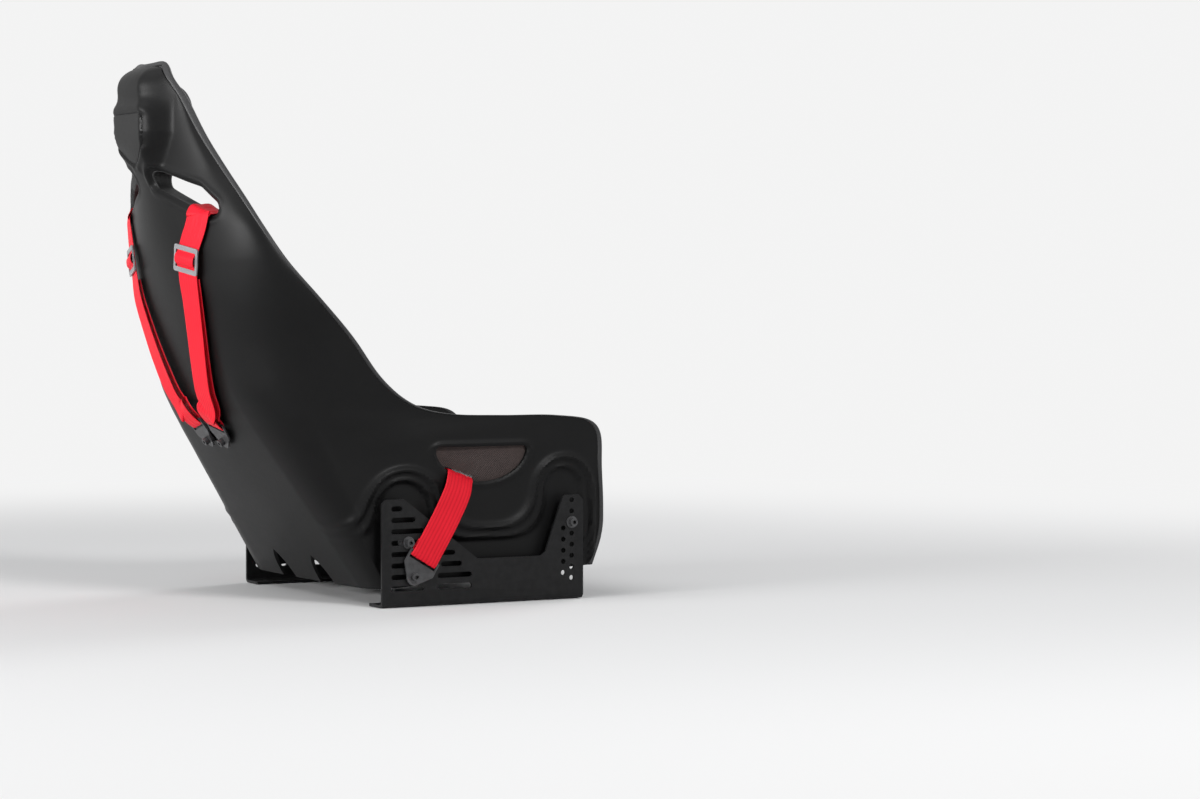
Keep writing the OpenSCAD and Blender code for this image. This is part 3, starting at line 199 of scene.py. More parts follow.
# ---- surfaces of the two shells ----
def section(row, u, inset=0.0):
    """Going out from the middle: flat to the crease, round the corner, and up the wall to the rim."""
    a = np.abs(u)
    zero = np.zeros_like(row[..., 0] + a)
    row = np.broadcast_to(row, zero.shape + (row.shape[-1],))
    across = np.array([1.0, 0, 0])
    centre = np.stack([zero, row[..., 0], row[..., 1]], -1)
    edge = row[..., 6:9]
    ahead = unit(np.stack([zero, row[..., 7] - row[..., 0], row[..., 8] - row[..., 1]], -1))
    crease = centre + across * row[..., 2:3] + ahead * row[..., 4:5] * CREASE_DROP
    corner = centre + across * row[..., 3:4] + ahead * row[..., 4:5]
    rim = edge - unit(edge - corner) * (inset + zero)[..., None]
    run = np.linalg.norm(rim - corner, axis=-1)
    swing = 1 + 1.5 * clamp(run / WALL_RUN)
    reach = np.minimum(row[..., 5] / run, 0.9)
    pace = swing * (1 - reach) ** (swing - 1)

    def on_wall(x, share):
        return np.stack([x, mix(corner[..., 1], rim[..., 1], share), mix(corner[..., 2], rim[..., 2], share)], -1)
    wall_x = mix(corner[..., 0], rim[..., 0], 1 - (1 - reach) ** swing)
    wall = on_wall(wall_x, reach)
    bend = on_wall(wall_x - (rim[..., 0] - corner[..., 0]) * pace * reach, 0)
    t_flat = (a / CREASE)[..., None]
    t_turn = ((a - CREASE) / (WALL - CREASE))[..., None]
    t_wall = clamp((a - WALL) / (1 - WALL))
    d = mix(reach, 1, t_wall)
    flat = centre + across * (row[..., 2:3] * t_flat) + ahead * (row[..., 4:5] * CREASE_DROP * t_flat ** 2)
    turn = mix(mix(crease, bend, t_turn), mix(bend, wall, t_turn), t_turn)
    up = on_wall(mix(corner[..., 0], rim[..., 0], 1 - (1 - d) ** swing)
                 + row[..., 9] * BELLY_RISE * t_wall * (1 - t_wall) ** 3, d)
    p = np.where((a < CREASE)[..., None], flat, np.where((a < WALL)[..., None], turn, up)).copy()
    p[..., 0] *= np.sign(u)
    return p


REAR_BAY = (140.0, base(0.463), 64.0)
FRONT_BAY = (-157.0, base(0.559), 52.0)
WAIST_TOP = base(0.34)
BAY_BLEND = 75.0
LEDGE_DEPTH, LEDGE_RUN = 2.0, 5
FLOOR_INSIDE, FLOOR_RUN = 12, 10
BEAD_HEIGHT, BEAD_OUTSIDE, BEAD_WIDTH = 5.4, 3, 5.2
INNER_BEAD_HEIGHT, INNER_BEAD_INSIDE, INNER_BEAD_WIDTH = 2.2, 13, 4.0
FOOT_PLAIN, FOOT_RUN = 4, 14


def recess_line(y, z):
    """Distance from the edge of the recess that clears a bracket, below zero inside it."""
    def bay(b):
        return np.hypot(y - b[0], np.maximum(0, z - b[1])) - b[2]
    a = np.minimum(bay(REAR_BAY), bay(FRONT_BAY))
    b = np.maximum(z - WAIST_TOP, FRONT_BAY[0] - y)
    h = np.maximum(BAY_BLEND - np.abs(a - b), 0) / BAY_BLEND
    return np.minimum(a, b) - h * h * BAY_BLEND / 4


POD_LOW, POD_WIDE, POD_ROUND = back(0.640), back(0.805), back(0.880)
SHIELD_TOP, SHIELD_LOW = back(0.862), back(0.712)
POD_HALF, POD_FLARE = HEAD - 14, 0.45
POD_FLAT, POD_SLOPE, CROWN_FLAT, CROWN_SLOPE = 0.60, 0.42, 0.46, 0.62
DIP_SHARE, DIP_ABOVE, DIP_WIDTH = 0.13, 23, 15
ARCH_FROM, ARCH_RUN, ARCH_RISE, ARCH_FALL, ARCH_HALF = 815, 60, 5, 9, 80


def pod_half(z):
    return POD_HALF * clamp((z - POD_LOW) / (POD_WIDE - POD_LOW)) ** POD_FLARE


def pod(x, z):
    """Share of its full height at which the back of the head stands proud."""
    rise = ease((z - POD_LOW) / (POD_WIDE - POD_LOW))
    half = pod_half(z)
    crown = ease((z - SHIELD_TOP + 6) / 38)
    flat, slope = mix(POD_FLAT, CROWN_FLAT, crown), mix(POD_SLOPE, CROWN_SLOPE, crown)
    side = 1 - ease((np.abs(x) / np.maximum(half, 1) - flat) / slope)
    side = np.where(half < 1, 0, side)
    over = clamp((z - POD_ROUND) / (SEAT_HEIGHT - HEAD_TRIM + 2 - POD_ROUND))
    dip = 1 - DIP_SHARE * hump(z - SHIELD_TOP - DIP_ABOVE, DIP_WIDTH)
    return side * rise ** 0.75 * (1 - over ** 3) ** 0.6 * dip


def trim_at(s):
    return mix(TRIM_HEIGHT, HEAD_TRIM, ease((s - 11) / 5))


def arched(p):
    """The top of the head rounded off towards its sides."""
    p = p.copy()
    top = ease((p[..., 2] - ARCH_FROM) / ARCH_RUN)
    p[..., 2] += top * (ARCH_RISE - ARCH_FALL * clamp(np.abs(p[..., 0]) / ARCH_HALF, 0, 1.2) ** 3)
    return p


def rear_smooth(s, u):
    """The rear shell without the recesses in its sides."""
    s, u = np.broadcast_arrays(np.asarray(s, float), np.asarray(u, float))
    row = row_at(REAR_ROWS, s)
    p = section(row, u, trim_at(s))
    p[..., 1] += np.where(s > POD_ROWS, (row[..., 0] + HEAD_BULGE - p[..., 1]) * pod(p[..., 0], p[..., 2]), 0)
    return arched(p)


def rear_point(s, u):
    """The rear shell with the moulded bead and ledge round each side recess."""
    p = rear_smooth(s, u)
    x, y, z = p[..., 0], p[..., 1], p[..., 2]
    line = recess_line(y, z)
    on_side = (np.abs(u) > CREASE) & (np.asarray(s) < SIDE_ROWS)
    deep = np.maximum(np.abs(x) - RECESS_X, 0)
    ledge = np.minimum(deep, LEDGE_DEPTH) * ease((1 - line) / LEDGE_RUN)
    full = ledge + np.maximum(deep - LEDGE_DEPTH, 0) * ease((-line - FLOOR_INSIDE) / FLOOR_RUN)
    bead = (BEAD_HEIGHT * hump(line - BEAD_OUTSIDE, BEAD_WIDTH)
            + INNER_BEAD_HEIGHT * hump(line + INNER_BEAD_INSIDE, INNER_BEAD_WIDTH))
    fade = ease((z - SHELL_LIFT - FOOT_PLAIN) / FOOT_RUN)
    p[..., 0] += np.sign(x) * np.where(on_side, bead * fade - full, 0)
    return p


def normal_of(surface, s, u, s_last, step=0.02):
    low, high = clamp(np.asarray(s) - step, 0, s_last), clamp(np.asarray(s) + step, 0, s_last)
    along = surface(high, u) - surface(low, u)
    across = surface(s, clamp(np.asarray(u) + step, -1, 1)) - surface(s, clamp(np.asarray(u) - step, -1, 1))
    return unit(np.cross(along, across))


def rear_normal(s, u):
    return normal_of(rear_smooth, s, u, ROW_TOP)


def front_rim(s):
    edge = rear_smooth(s, 1.0)
    return edge - rear_normal(s, 1.0) * (REAR_WALL + SHELL_GAP) - unit(edge - rear_smooth(s, 0.96)) * FRONT_DROP


def front_point(j, u):
    j, u = np.broadcast_arrays(np.asarray(j, float), np.asarray(u, float))
    f = row_at(FRONT_ROWS, j)
    rim = front_rim(clamp(f[..., 0], 0, ROW_TOP))
    p = section(np.concatenate([f[..., 1:7], rim, np.zeros(f.shape[:-1] + (1,))], -1), u)
    inner = arched(p)
    share = clamp((1 - np.abs(u)) / 0.5)
    p[..., 2] += (inner[..., 2] - p[..., 2]) * share
    return p


def front_normal(j, u):
    return -normal_of(front_point, j, u, FRONT_LAST, 0.03)


def over_front(j, u, height):
    """A point over the seat side of the front shell."""
    return front_point(j, u) - front_normal(j, u) * (FRONT_WALL + height)


# ---- outlines of the openings, as distances, below zero inside ----
def tapered_bar(x, z, a, b, ra, rb):
    d = np.array([b[0] - a[0], b[1] - a[1]])
    length = float(np.hypot(*d))
    d /= length
    px = np.abs((x - a[0]) * d[1] - (z - a[1]) * d[0])
    py = (x - a[0]) * d[0] + (z - a[1]) * d[1]
    lean = (ra - rb) / length
    flat = math.sqrt(1 - lean * lean)
    k = py * flat - px * lean
    return np.where(k < 0, np.hypot(px, py) - ra,
                    np.where(k > flat * length, np.hypot(px, py - length) - rb, px * flat + py * lean - ra))


SLOT_Z = back(0.62)
SLOT_MIDDLE = (110.0, SLOT_Z + 8)
SLOT_BENDS = (46, SLOT_Z + 29), (138, SLOT_Z), (172, SLOT_Z - 19)
SLOT_RADII = 15, 18, 13
LINER_RIBS, LINER_WALL = 5, 2.2


def shoulder_slot(p):
    x, z = np.abs(p[..., 0]), p[..., 2]
    a, b, c = SLOT_BENDS
    ra, rb, rc = SLOT_RADII
    return np.minimum(tapered_bar(x, z, a, b, ra, rb), tapered_bar(x, z, b, c, rb, rc))


HIP_SLOT_TOP = base(0.828)
HIP_SLOT_MIDDLE = (-2, HIP_SLOT_TOP - 25)
HIP_SLOT_HALF, HIP_SLOT_DEEP, HIP_SLOT_ROUND = 86, 58, 8


def hip_slot(p):
    y, z = p[..., 1] + 2, p[..., 2] - HIP_SLOT_TOP
    k0 = np.hypot(y / HIP_SLOT_HALF, z / HIP_SLOT_DEEP)
    k1 = np.hypot(y / HIP_SLOT_HALF ** 2, z / HIP_SLOT_DEEP ** 2)
    a, b = k0 * (k0 - 1) / np.maximum(k1, 1e-9) + HIP_SLOT_ROUND, z + HIP_SLOT_ROUND
    return np.minimum(np.maximum(a, b), 0) + np.hypot(np.maximum(a, 0), np.maximum(b, 0)) - HIP_SLOT_ROUND


FOOT_ARCH_X, FOOT_ARCH_TALL = 76, 60
FOOT_ARCH_OFFSET, FOOT_ARCH_RADIUS, FOOT_ARCH_SCALE = 40.5, 67.5, 55


def foot_arch(p):
    """The pointed arches at the foot of the back, where two ovals meet."""
    x, z = np.abs(p[..., 0]) - FOOT_ARCH_X, p[..., 2] - SHELL_LIFT + 1
    side = [np.hypot((x - e * FOOT_ARCH_OFFSET) / FOOT_ARCH_RADIUS, z / FOOT_ARCH_TALL) for e in (-1, 1)]
    return (np.maximum(*side) - 1) * FOOT_ARCH_SCALE


CROTCH_Y, CROTCH_HALF, CROTCH_DEEP, CROTCH_ROUND = -96.0, 37.0, 11.0, 6


def crotch_slot(p):
    qx = np.abs(p[..., 0]) - (CROTCH_HALF - CROTCH_ROUND)
    qy = np.abs(p[..., 1] - CROTCH_Y) - (CROTCH_DEEP - CROTCH_ROUND)
    return np.hypot(np.maximum(qx, 0), np.maximum(qy, 0)) + np.minimum(np.maximum(qx, qy), 0) - CROTCH_ROUND


# ---- meshes ----
def new_object(name, verts, faces, smooth=True):
    mesh = bpy.data.meshes.new(name)
    mesh.from_pydata([tuple(v) for v in np.asarray(verts) * MM], [], [tuple(f) for f in faces])
    mesh.validate()
    if smooth:
        mesh.shade_smooth()
    obj = bpy.data.objects.new(name, mesh)
    bpy.context.scene.collection.objects.link(obj)
    return obj


def grid_faces(rows, columns, around=False):
    last = columns if around else columns - 1
    return [(i * columns + k, i * columns + (k + 1) % columns, (i + 1) * columns + (k + 1) % columns,
             (i + 1) * columns + k) for i in range(rows - 1) for k in range(last)]


def outline_of(distance, centre, grow, axis, count=140):
    """Points round an opening, found outwards from its middle, spaced evenly along its outline."""
    plane = [k for k in range(3) if k != axis]
    reach = np.linspace(0, 190, 3801)
    found = []
    for angle in np.linspace(0, 2 * math.pi, 720, endpoint=False):
        p = np.zeros((len(reach), 3))
        p[:, plane[0]] = centre[0] + reach * math.cos(angle)
        p[:, plane[1]] = centre[1] + reach * math.sin(angle)
        found.append(p[np.argmax(distance(p) > grow)][plane])
    found = np.array(found)
    travel = travel_along(np.vstack([found, found[:1]]))
    even = np.linspace(0, travel[-1], count, endpoint=False)
    return np.stack([np.interp(even, travel, np.append(found[:, k], found[0, k])) for k in (0, 1)], -1)


def cut_through(obj, distance, centre, grow, axis, low, high):
    """Cuts an opening of a given outline straight through a closed shell, from low to high along an axis."""
    ring = outline_of(distance, centre, grow, axis)
    count = len(ring)
    plane = [k for k in range(3) if k != axis]
    verts = np.zeros((2 * count, 3))
    verts[:, plane] = np.concatenate([ring, ring])
    verts[:count, axis], verts[count:, axis] = low, high
    faces = [tuple(range(count)), tuple(range(2 * count - 1, count - 1, -1))]
    faces += [((k + 1) % count, k, k + count, (k + 1) % count + count) for k in range(count)]
    cutter = new_object("cutter", verts, faces, smooth=False)
    tidy_normals(cutter, 0.001)
    cut = obj.modifiers.new("cut", "BOOLEAN")
    cut.operation = "DIFFERENCE"
    cut.solver = "MANIFOLD"
    cut.object = cutter
    apply_modifiers(obj)
    bpy.data.objects.remove(cutter)


def sharpen(obj):
    obj.data.set_sharp_from_angle(angle=math.radians(SHARP_ANGLE))


def closed_sheet(name, points, shift, faces=None, flip=False):
    """A sheet with a second skin, shifted from the first, and walls round all its edges."""
    faces = faces or grid_faces(*points.shape[:2])
    if flip:
        faces = [f[::-1] for f in faces]
    used = np.unique(np.concatenate([np.array(f) for f in faces]))
    place = np.full(points.size // 3, -1)
    place[used] = np.arange(len(used))
    faces = [tuple(int(place[k]) for k in f) for f in faces]
    first, count = points.reshape(-1, 3)[used], len(used)
    second = first + np.broadcast_to(shift, points.shape).reshape(-1, 3)[used]
    edges = {(f[k], f[(k + 1) % len(f)]) for f in faces for k in range(len(f))}
    walls = [(b, a, a + count, b + count) for a, b in sorted(edges) if (b, a) not in edges]
    inner = [tuple(k + count for k in f[::-1]) for f in faces]
    obj = new_object(name, np.concatenate([first, second]), faces + inner + walls)
    tidy_normals(obj, 0.001)
    sharpen(obj)
    return obj


def dress(obj, material):
    obj.data.materials.clear()
    obj.data.materials.append(material)
    return obj


def piece(obj, material, slot, *nodes, body=BODY):
    """Gives a made mesh its finish, the CAD nodes it stands for and the body it rides on; its slot is not used."""
    dress(obj, material)
    if nodes:
        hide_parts(*nodes)
    if body:
        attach(obj, body)
    return obj


def swept(name, rings, joined=False, flip=False):
    """A closed skin over rings of points, with its ends capped or joined to each other."""
    count, sides = rings.shape[:2]
    faces = grid_faces(count, sides, around=True)
    last = (count - 1) * sides
    if joined:
        faces += [(last + k, last + (k + 1) % sides, (k + 1) % sides, k) for k in range(sides)]
    else:
        faces += [tuple(range(sides))[::-1], tuple(last + k for k in range(sides))]
    return new_object(name, rings.reshape(-1, 3), [f[::-1] for f in faces] if flip else faces)


def tree_of(points):
    tree = KDTree(len(points))
    for k, p in enumerate(points):
        tree.insert(p, k)
    tree.balance()
    return tree


def tidy_normals(obj, merge=0.05):
    bm = bmesh.new()
    bm.from_mesh(obj.data)
    bmesh.ops.remove_doubles(bm, verts=bm.verts, dist=merge * MM)
    bmesh.ops.recalc_face_normals(bm, faces=bm.faces)
    bm.to_mesh(obj.data)
    bm.free()
    obj.data.shade_smooth()


def apply_modifiers(obj):
    """Writes the shape that the modifiers give into the mesh."""
    shown = bpy.context.evaluated_depsgraph_get()
    shown.update()
    made = bpy.data.meshes.new_from_object(obj.evaluated_get(shown))
    obj.modifiers.clear()
    obj.data = made
    obj.data.shade_smooth()


# ---- node groups for the finishes ----
class Wiring:
    """Adds nodes to a node tree; a value is a number, a colour or another node's output."""

    def __init__(self, tree):
        self.nodes, self.links = tree.nodes, tree.links

    def feed(self, sockets, values):
        for socket, value in values.items():
            if hasattr(value, "is_output"):
                self.links.new(value, sockets[socket])
            else:
                sockets[socket].default_value = value

    def add(self, kind, values=None, **settings):
        node = self.nodes.new("ShaderNode" + kind)
        for setting, value in settings.items():
            setattr(node, setting, value)
        self.feed(node.inputs, values or {})
        return node.outputs

    def math(self, operation, *values):
        return self.add("Math", dict(enumerate(values)), operation=operation)[0]

    def noise(self, place, scale, detail):
        return self.add("TexNoise", {"Vector": place, "Scale": scale, "Detail": detail})["Fac"]

    def blend(self, share, first, second):
        return self.add("Mix", {"Factor": share, "A": first, "B": second}, data_type="RGBA")["Result"]

    def split(self, vector):
        return self.add("SeparateXYZ", {0: vector})


class Effect(Wiring):
    """A node group with named inputs that gives a colour, a roughness and a height."""

    def __init__(self, name, inputs):
        self.tree = bpy.data.node_groups.new(name, "ShaderNodeTree")
        super().__init__(self.tree)
        for socket, value in inputs.items():
            kind = "Float" if isinstance(value, float) else "Color"
            made = self.tree.interface.new_socket(socket, in_out="INPUT", socket_type="NodeSocket" + kind)
            made.default_value = value
        for socket, kind in (("Color", "Color"), ("Roughness", "Float"), ("Height", "Float")):
            self.tree.interface.new_socket(socket, in_out="OUTPUT", socket_type="NodeSocket" + kind)
        self.given = self.nodes.new("NodeGroupInput").outputs
        self.place = self.add("TexCoord")["Object"]

    def give(self, colour, roughness, height):
        out = self.nodes.new("NodeGroupOutput")
        self.feed(out.inputs, {"Color": colour, "Roughness": roughness, "Height": height})
        return self.tree


BLACK, WHITE = (0, 0, 0, 1), (1, 1, 1, 1)


def moulded_grain():
    """Fine moulded grain with broad uneven gloss and a little dust on what faces up."""
    e = Effect("moulded grain", {"Dark": BLACK, "Light": WHITE, "Roughness": 0.45, "Grain Size": 900.0, "Dust": 0.1})
    grain = e.add("TexVoronoi", {"Vector": e.place, "Scale": e.given["Grain Size"]}, feature="SMOOTH_F1")
    broad = e.noise(e.place, 7.0, 5.0)
    fine = e.noise(e.place, 120.0, 4.0)
    up = e.math("MAXIMUM", e.split(e.add("NewGeometry")["Normal"])["Z"], 0.0)
    dust = e.math("MULTIPLY", e.math("MULTIPLY", up, e.given["Dust"]), fine)
    shade = e.math("MULTIPLY_ADD", broad, 0.5, dust)
    uneven = e.math("MULTIPLY_ADD", broad, 0.12, e.given["Roughness"])
    uneven = e.math("MULTIPLY_ADD", fine, 0.05, uneven)
    return e.give(e.blend(shade, e.given["Dark"], e.given["Light"]), e.math("ADD", uneven, dust), grain["Distance"])


def woven_cloth():
    """Crossing yarns from the place on the piece, with slubs and uneven dye."""
    e = Effect("woven cloth", {"Dark": BLACK, "Light": WHITE, "Yarns per Metre": 700.0, "Roughness": 0.85})
    at = e.split(e.place)
    slant = e.math("ADD", at["Z"], at["Y"])
    turn = e.math("MULTIPLY", e.given["Yarns per Metre"], 2 * math.pi)
    warp = e.math("SINE", e.math("MULTIPLY", at["X"], turn))
    weft = e.math("SINE", e.math("MULTIPLY", slant, turn))
    height = e.math("MULTIPLY_ADD", e.math("MULTIPLY", warp, weft), 0.5, 0.5)
    slub = e.noise(e.place, 60.0, 6.0)
    shade = e.math("MULTIPLY_ADD", slub, 0.45, e.math("MULTIPLY", height, 0.55))
    return e.give(e.blend(shade, e.given["Dark"], e.given["Light"]),
                  e.math("MULTIPLY_ADD", slub, 0.1, e.given["Roughness"]), height)


def ribbed_webbing():
    """Webbing woven in ribs along its length, from the place on the strap."""
    e = Effect("ribbed webbing", {"Dark": BLACK, "Light": WHITE, "Ribs": 9.0})
    on_strap = e.split(e.add("Attribute", attribute_name="on_strap")["Vector"])
    across, along = on_strap["X"], on_strap["Y"]
    turn = e.math("MULTIPLY", e.given["Ribs"], 2 * math.pi)
    rib = e.math("COSINE", e.math("MULTIPLY", across, turn))
    rib = e.math("POWER", e.math("MULTIPLY_ADD", rib, 0.5, 0.5), 0.35)
    yarn = e.math("MULTIPLY", e.math("SINE", e.math("MULTIPLY", across, YARNS_ACROSS)),
                  e.math("SINE", e.math("MULTIPLY", along, YARNS_ALONG)))
    height = e.math("MULTIPLY_ADD", yarn, 0.14, rib)
    worn = e.noise(e.place, 22.0, 5.0)
    shade = e.math("MULTIPLY_ADD", worn, 0.4, e.math("MULTIPLY", height, 0.6))
    return e.give(e.blend(shade, e.given["Dark"], e.given["Light"]), e.math("MULTIPLY_ADD", worn, 0.15, 0.48), height)


def coated_metal():
    """Orange peel or brushed grain with wear along the edges."""
    e = Effect("coated metal", {"Coat": BLACK, "Worn": WHITE, "Wear": 0.3, "Roughness": 0.4, "Peel": 500.0})
    edge = e.math("SUBTRACT", e.add("NewGeometry")["Pointiness"], 0.52)
    wear = e.math("MULTIPLY", e.math("MULTIPLY", edge, 9.0), e.noise(e.place, 90.0, 6.0))
    wear = e.math("MULTIPLY", wear, e.given["Wear"])
    wear = e.math("MINIMUM", e.math("MAXIMUM", wear, 0.0), 1.0)
    peel = e.noise(e.place, e.given["Peel"], 3.0)
    return e.give(e.blend(wear, e.given["Coat"], e.given["Worn"]),
                  e.math("MULTIPLY_ADD", peel, 0.12, e.given["Roughness"]), peel)


YARNS_ACROSS, YARNS_ALONG = 260.0, 4200.0
GRAIN, CLOTH, RIBS, COATING = moulded_grain(), woven_cloth(), ribbed_webbing(), coated_metal()


def finish(name, group, values, bump, depth, metallic=0.0, sheen=0.0, coat=0.0, specular=0.5):
    """A material of one shader, fed by one group of effects."""
    material = bpy.data.materials.new(name)
    material.use_nodes = True
    wires = Wiring(material.node_tree)
    effect = wires.add("Group", values, node_tree=group)
    relief = wires.add("Bump", {"Strength": bump, "Distance": depth * MM, "Height": effect["Height"]})
    wires.feed(wires.nodes["Principled BSDF"].inputs, {
        "Base Color": effect["Color"], "Roughness": effect["Roughness"], "Normal": relief["Normal"],
        "Metallic": metallic, "Sheen Weight": sheen, "Coat Weight": coat, "Specular IOR Level": specular})
    return material


def grey(value, blue=1.04):
    return (value, value, value * blue, 1)


SHELL_FINISH = finish("satin black moulding", GRAIN, {
    "Dark": grey(0.0025), "Light": grey(0.008), "Roughness": 0.34, "Grain Size": 1100.0, "Dust": 0.15},
    0.25, 0.12, specular=0.15)
LIP_FINISH = finish("soft black lip", GRAIN, {
    "Dark": grey(0.016), "Light": grey(0.040), "Roughness": 0.40, "Grain Size": 1300.0, "Dust": 0.2}, 0.06, 0.05,
    specular=0.4)
SHIELD_FINISH = finish("gloss black plate", GRAIN, {
    "Dark": grey(0.004), "Light": grey(0.010), "Roughness": 0.24, "Grain Size": 1500.0, "Dust": 0.2}, 0.1, 0.05,
    specular=0.12)
TUNNEL_FINISH = finish("matt black liner", GRAIN, {
    "Dark": grey(0.004), "Light": grey(0.012), "Roughness": 0.5, "Grain Size": 900.0, "Dust": 0.2}, 0.2, 0.1)
CUSHION_FINISH = finish("black woven cover", CLOTH, {
    "Dark": grey(0.006), "Light": grey(0.034), "Yarns per Metre": 620.0}, 0.5, 0.4, sheen=0.25, specular=0.25)
BOLSTER_FINISH = finish("dark grey woven cover", CLOTH, {
    "Dark": grey(0.014), "Light": grey(0.060), "Yarns per Metre": 620.0}, 0.5, 0.4, sheen=0.3, specular=0.25)
PIPING_FINISH = finish("piping", CLOTH, {
    "Dark": grey(0.010), "Light": grey(0.030), "Yarns per Metre": 900.0}, 0.3, 0.2, sheen=0.1, specular=0.3)
MESH_FINISH = finish("open mesh", CLOTH, {
    "Dark": (0.012, 0.008, 0.007, 1), "Light": (0.085, 0.062, 0.058, 1), "Yarns per Metre": 240.0},
    0.8, 0.8, sheen=0.2, specular=0.3)
WEBBING_FINISH = finish("red webbing", RIBS, {
    "Dark": (0.52, 0.002, 0.012, 1), "Light": (0.84, 0.012, 0.030, 1)}, 0.3, 0.3, specular=0.2)
BRACKET_FINISH = finish("satin powder coat", COATING, {
    "Coat": grey(0.005), "Worn": grey(0.05), "Wear": 0.35, "Roughness": 0.34, "Peel": 650.0}, 0.18, 0.15,
    specular=0.16)
BLACK_STEEL = finish("black steel", COATING, {
    "Coat": grey(0.012), "Worn": grey(0.22), "Wear": 0.5, "Roughness": 0.3, "Peel": 900.0}, 0.1, 0.08, metallic=0.35)
BRIGHT_STEEL = finish("brushed steel", COATING, {
    "Coat": grey(0.42), "Worn": grey(0.70), "Wear": 0.5, "Roughness": 0.30, "Peel": 1200.0}, 0.08, 0.06, metallic=0.9)
ADJUSTER_STEEL = finish("silver grey cast", COATING, {
    "Coat": grey(0.24), "Worn": grey(0.58), "Wear": 0.6, "Roughness": 0.36, "Peel": 800.0}, 0.12, 0.08, metallic=0.6)
BRASS = finish("brass", COATING, {
    "Coat": (0.50, 0.34, 0.10, 1), "Worn": (0.75, 0.6, 0.3, 1), "Wear": 0.3, "Roughness": 0.3, "Peel": 900.0},
    0.08, 0.05, metallic=0.95)
BUCKLE_FINISH = finish("buckle black", GRAIN, {
    "Dark": grey(0.008), "Light": grey(0.020), "Roughness": 0.3, "Grain Size": 1600.0, "Dust": 0.2}, 0.12, 0.06)
KNOB_FINISH = finish("red knob", GRAIN, {
    "Dark": (0.30, 0.004, 0.006, 1), "Light": (0.55, 0.015, 0.02, 1), "Roughness": 0.28, "Grain Size": 1400.0,
    "Dust": 0.1}, 0.12, 0.06, coat=0.15)


# ---- shells ----
SLOT_LIP, SLOT_BEAD, HIP_BEAD, HIP_LIP = 5.5, 1.3, 2.6, 1.2
PLATE_SINK, PLATE_RING, PLATE_CROWN, PLATE_WALL = 2.4, 1.7, 1.7, 1.6
PLATE_SHARE, PLATE_FOOT, PLATE_ROUND = 0.70, 34.0, 10
HEAD_FROM_Z, HEAD_FROM_Y = 690, 440
FRONT_SLOT_LIP = 3.5
LIP_OVER, LIP_UNDER = 1.0, -1.3
LIP_INNER_NOSE, LIP_INNER = -0.4, 6.9
LIP_OUTER, LIP_OUTER_HEAD = 7.4, 5.6


def rear_shell():
    s = runs((0, SIDE_ROWS, 160), (SIDE_ROWS, 11, 46), (11, ROW_TOP, 130))[:, None]
    u = both_halves(runs((0, CREASE, 24), (CREASE, WALL, 30), (WALL, 1, 84)))
    points = rear_point(s, u)
    out = rear_normal(s, u)
    slot = np.where(s > SLOT_ROWS, shoulder_slot(points), FAR)
    lip = -SLOT_LIP * (1 - ease(slot / 7.5)) + SLOT_BEAD * hump(slot - 9, 3.5)
    hip = np.where((np.abs(u) > WALL) & (s < SIDE_ROWS) & (s > 1), hip_slot(points), FAR)
    lip += HIP_BEAD * hump(hip - 5, 4.0) - HIP_LIP * (1 - ease(hip / 2.5))
    plate = shield_line(points)
    on_head = ease((points[..., 2] - HEAD_FROM_Z) / 15) * ease((points[..., 1] - HEAD_FROM_Y) / 10)
    lip += on_head * (PLATE_RING * hump(plate - 7, 6.5) - PLATE_SINK * ease((2 - plate) / 4))
    obj = closed_sheet("rear_shell_moulding", points + out * lip[..., None], -out * REAR_WALL)
    for sign in (-1, 1):
        cut_through(obj, shoulder_slot, (sign * SLOT_MIDDLE[0], SLOT_MIDDLE[1]), 0.0, DEEP, 390, 560)
        cut_through(obj, hip_slot, HIP_SLOT_MIDDLE, 0.0, ACROSS, sign * 200, sign * 330)
        cut_through(obj, foot_arch, (sign * FOOT_ARCH_X, SHELL_LIFT + 12), 0.0, DEEP, 150, 300)
    sharpen(obj)
    return piece(obj, SHELL_FINISH, "shell", "rear_shell")


def shield_line(p):
    """Distance from the outline of the blank plate, below zero inside."""
    x, z = np.abs(p[..., 0]), p[..., 2]
    half = pod_half(np.maximum(z, SHIELD_LOW)) * PLATE_SHARE
    foot = clamp((z - SHIELD_LOW) / PLATE_FOOT) ** 0.62
    side = (x - half * foot) * 0.9
    top = z - SHIELD_TOP
    round_off = np.hypot(np.maximum(side + PLATE_ROUND, 0), np.maximum(top + PLATE_ROUND, 0)) - PLATE_ROUND
    rounded = np.where((side > -PLATE_ROUND) & (top > -PLATE_ROUND), round_off, np.maximum(side, top))
    return np.maximum(rounded, SHIELD_LOW - z)


def depth_over(points):
    """Looks up how far back a sampled surface lies at an x and z, from the nearest samples."""
    flat = points.reshape(-1, 3)
    tree = tree_of(flat[:, [ACROSS, UP, DEEP]] * np.array([1, 1, 0]))

    def depth(x, z):
        found = tree.find_n((x, z, 0), 4)
        share = np.array([1 / (f[2] + 0.05) for f in found])
        return float((np.array([flat[f[1], DEEP] for f in found]) * share).sum() / share.sum())
    return depth


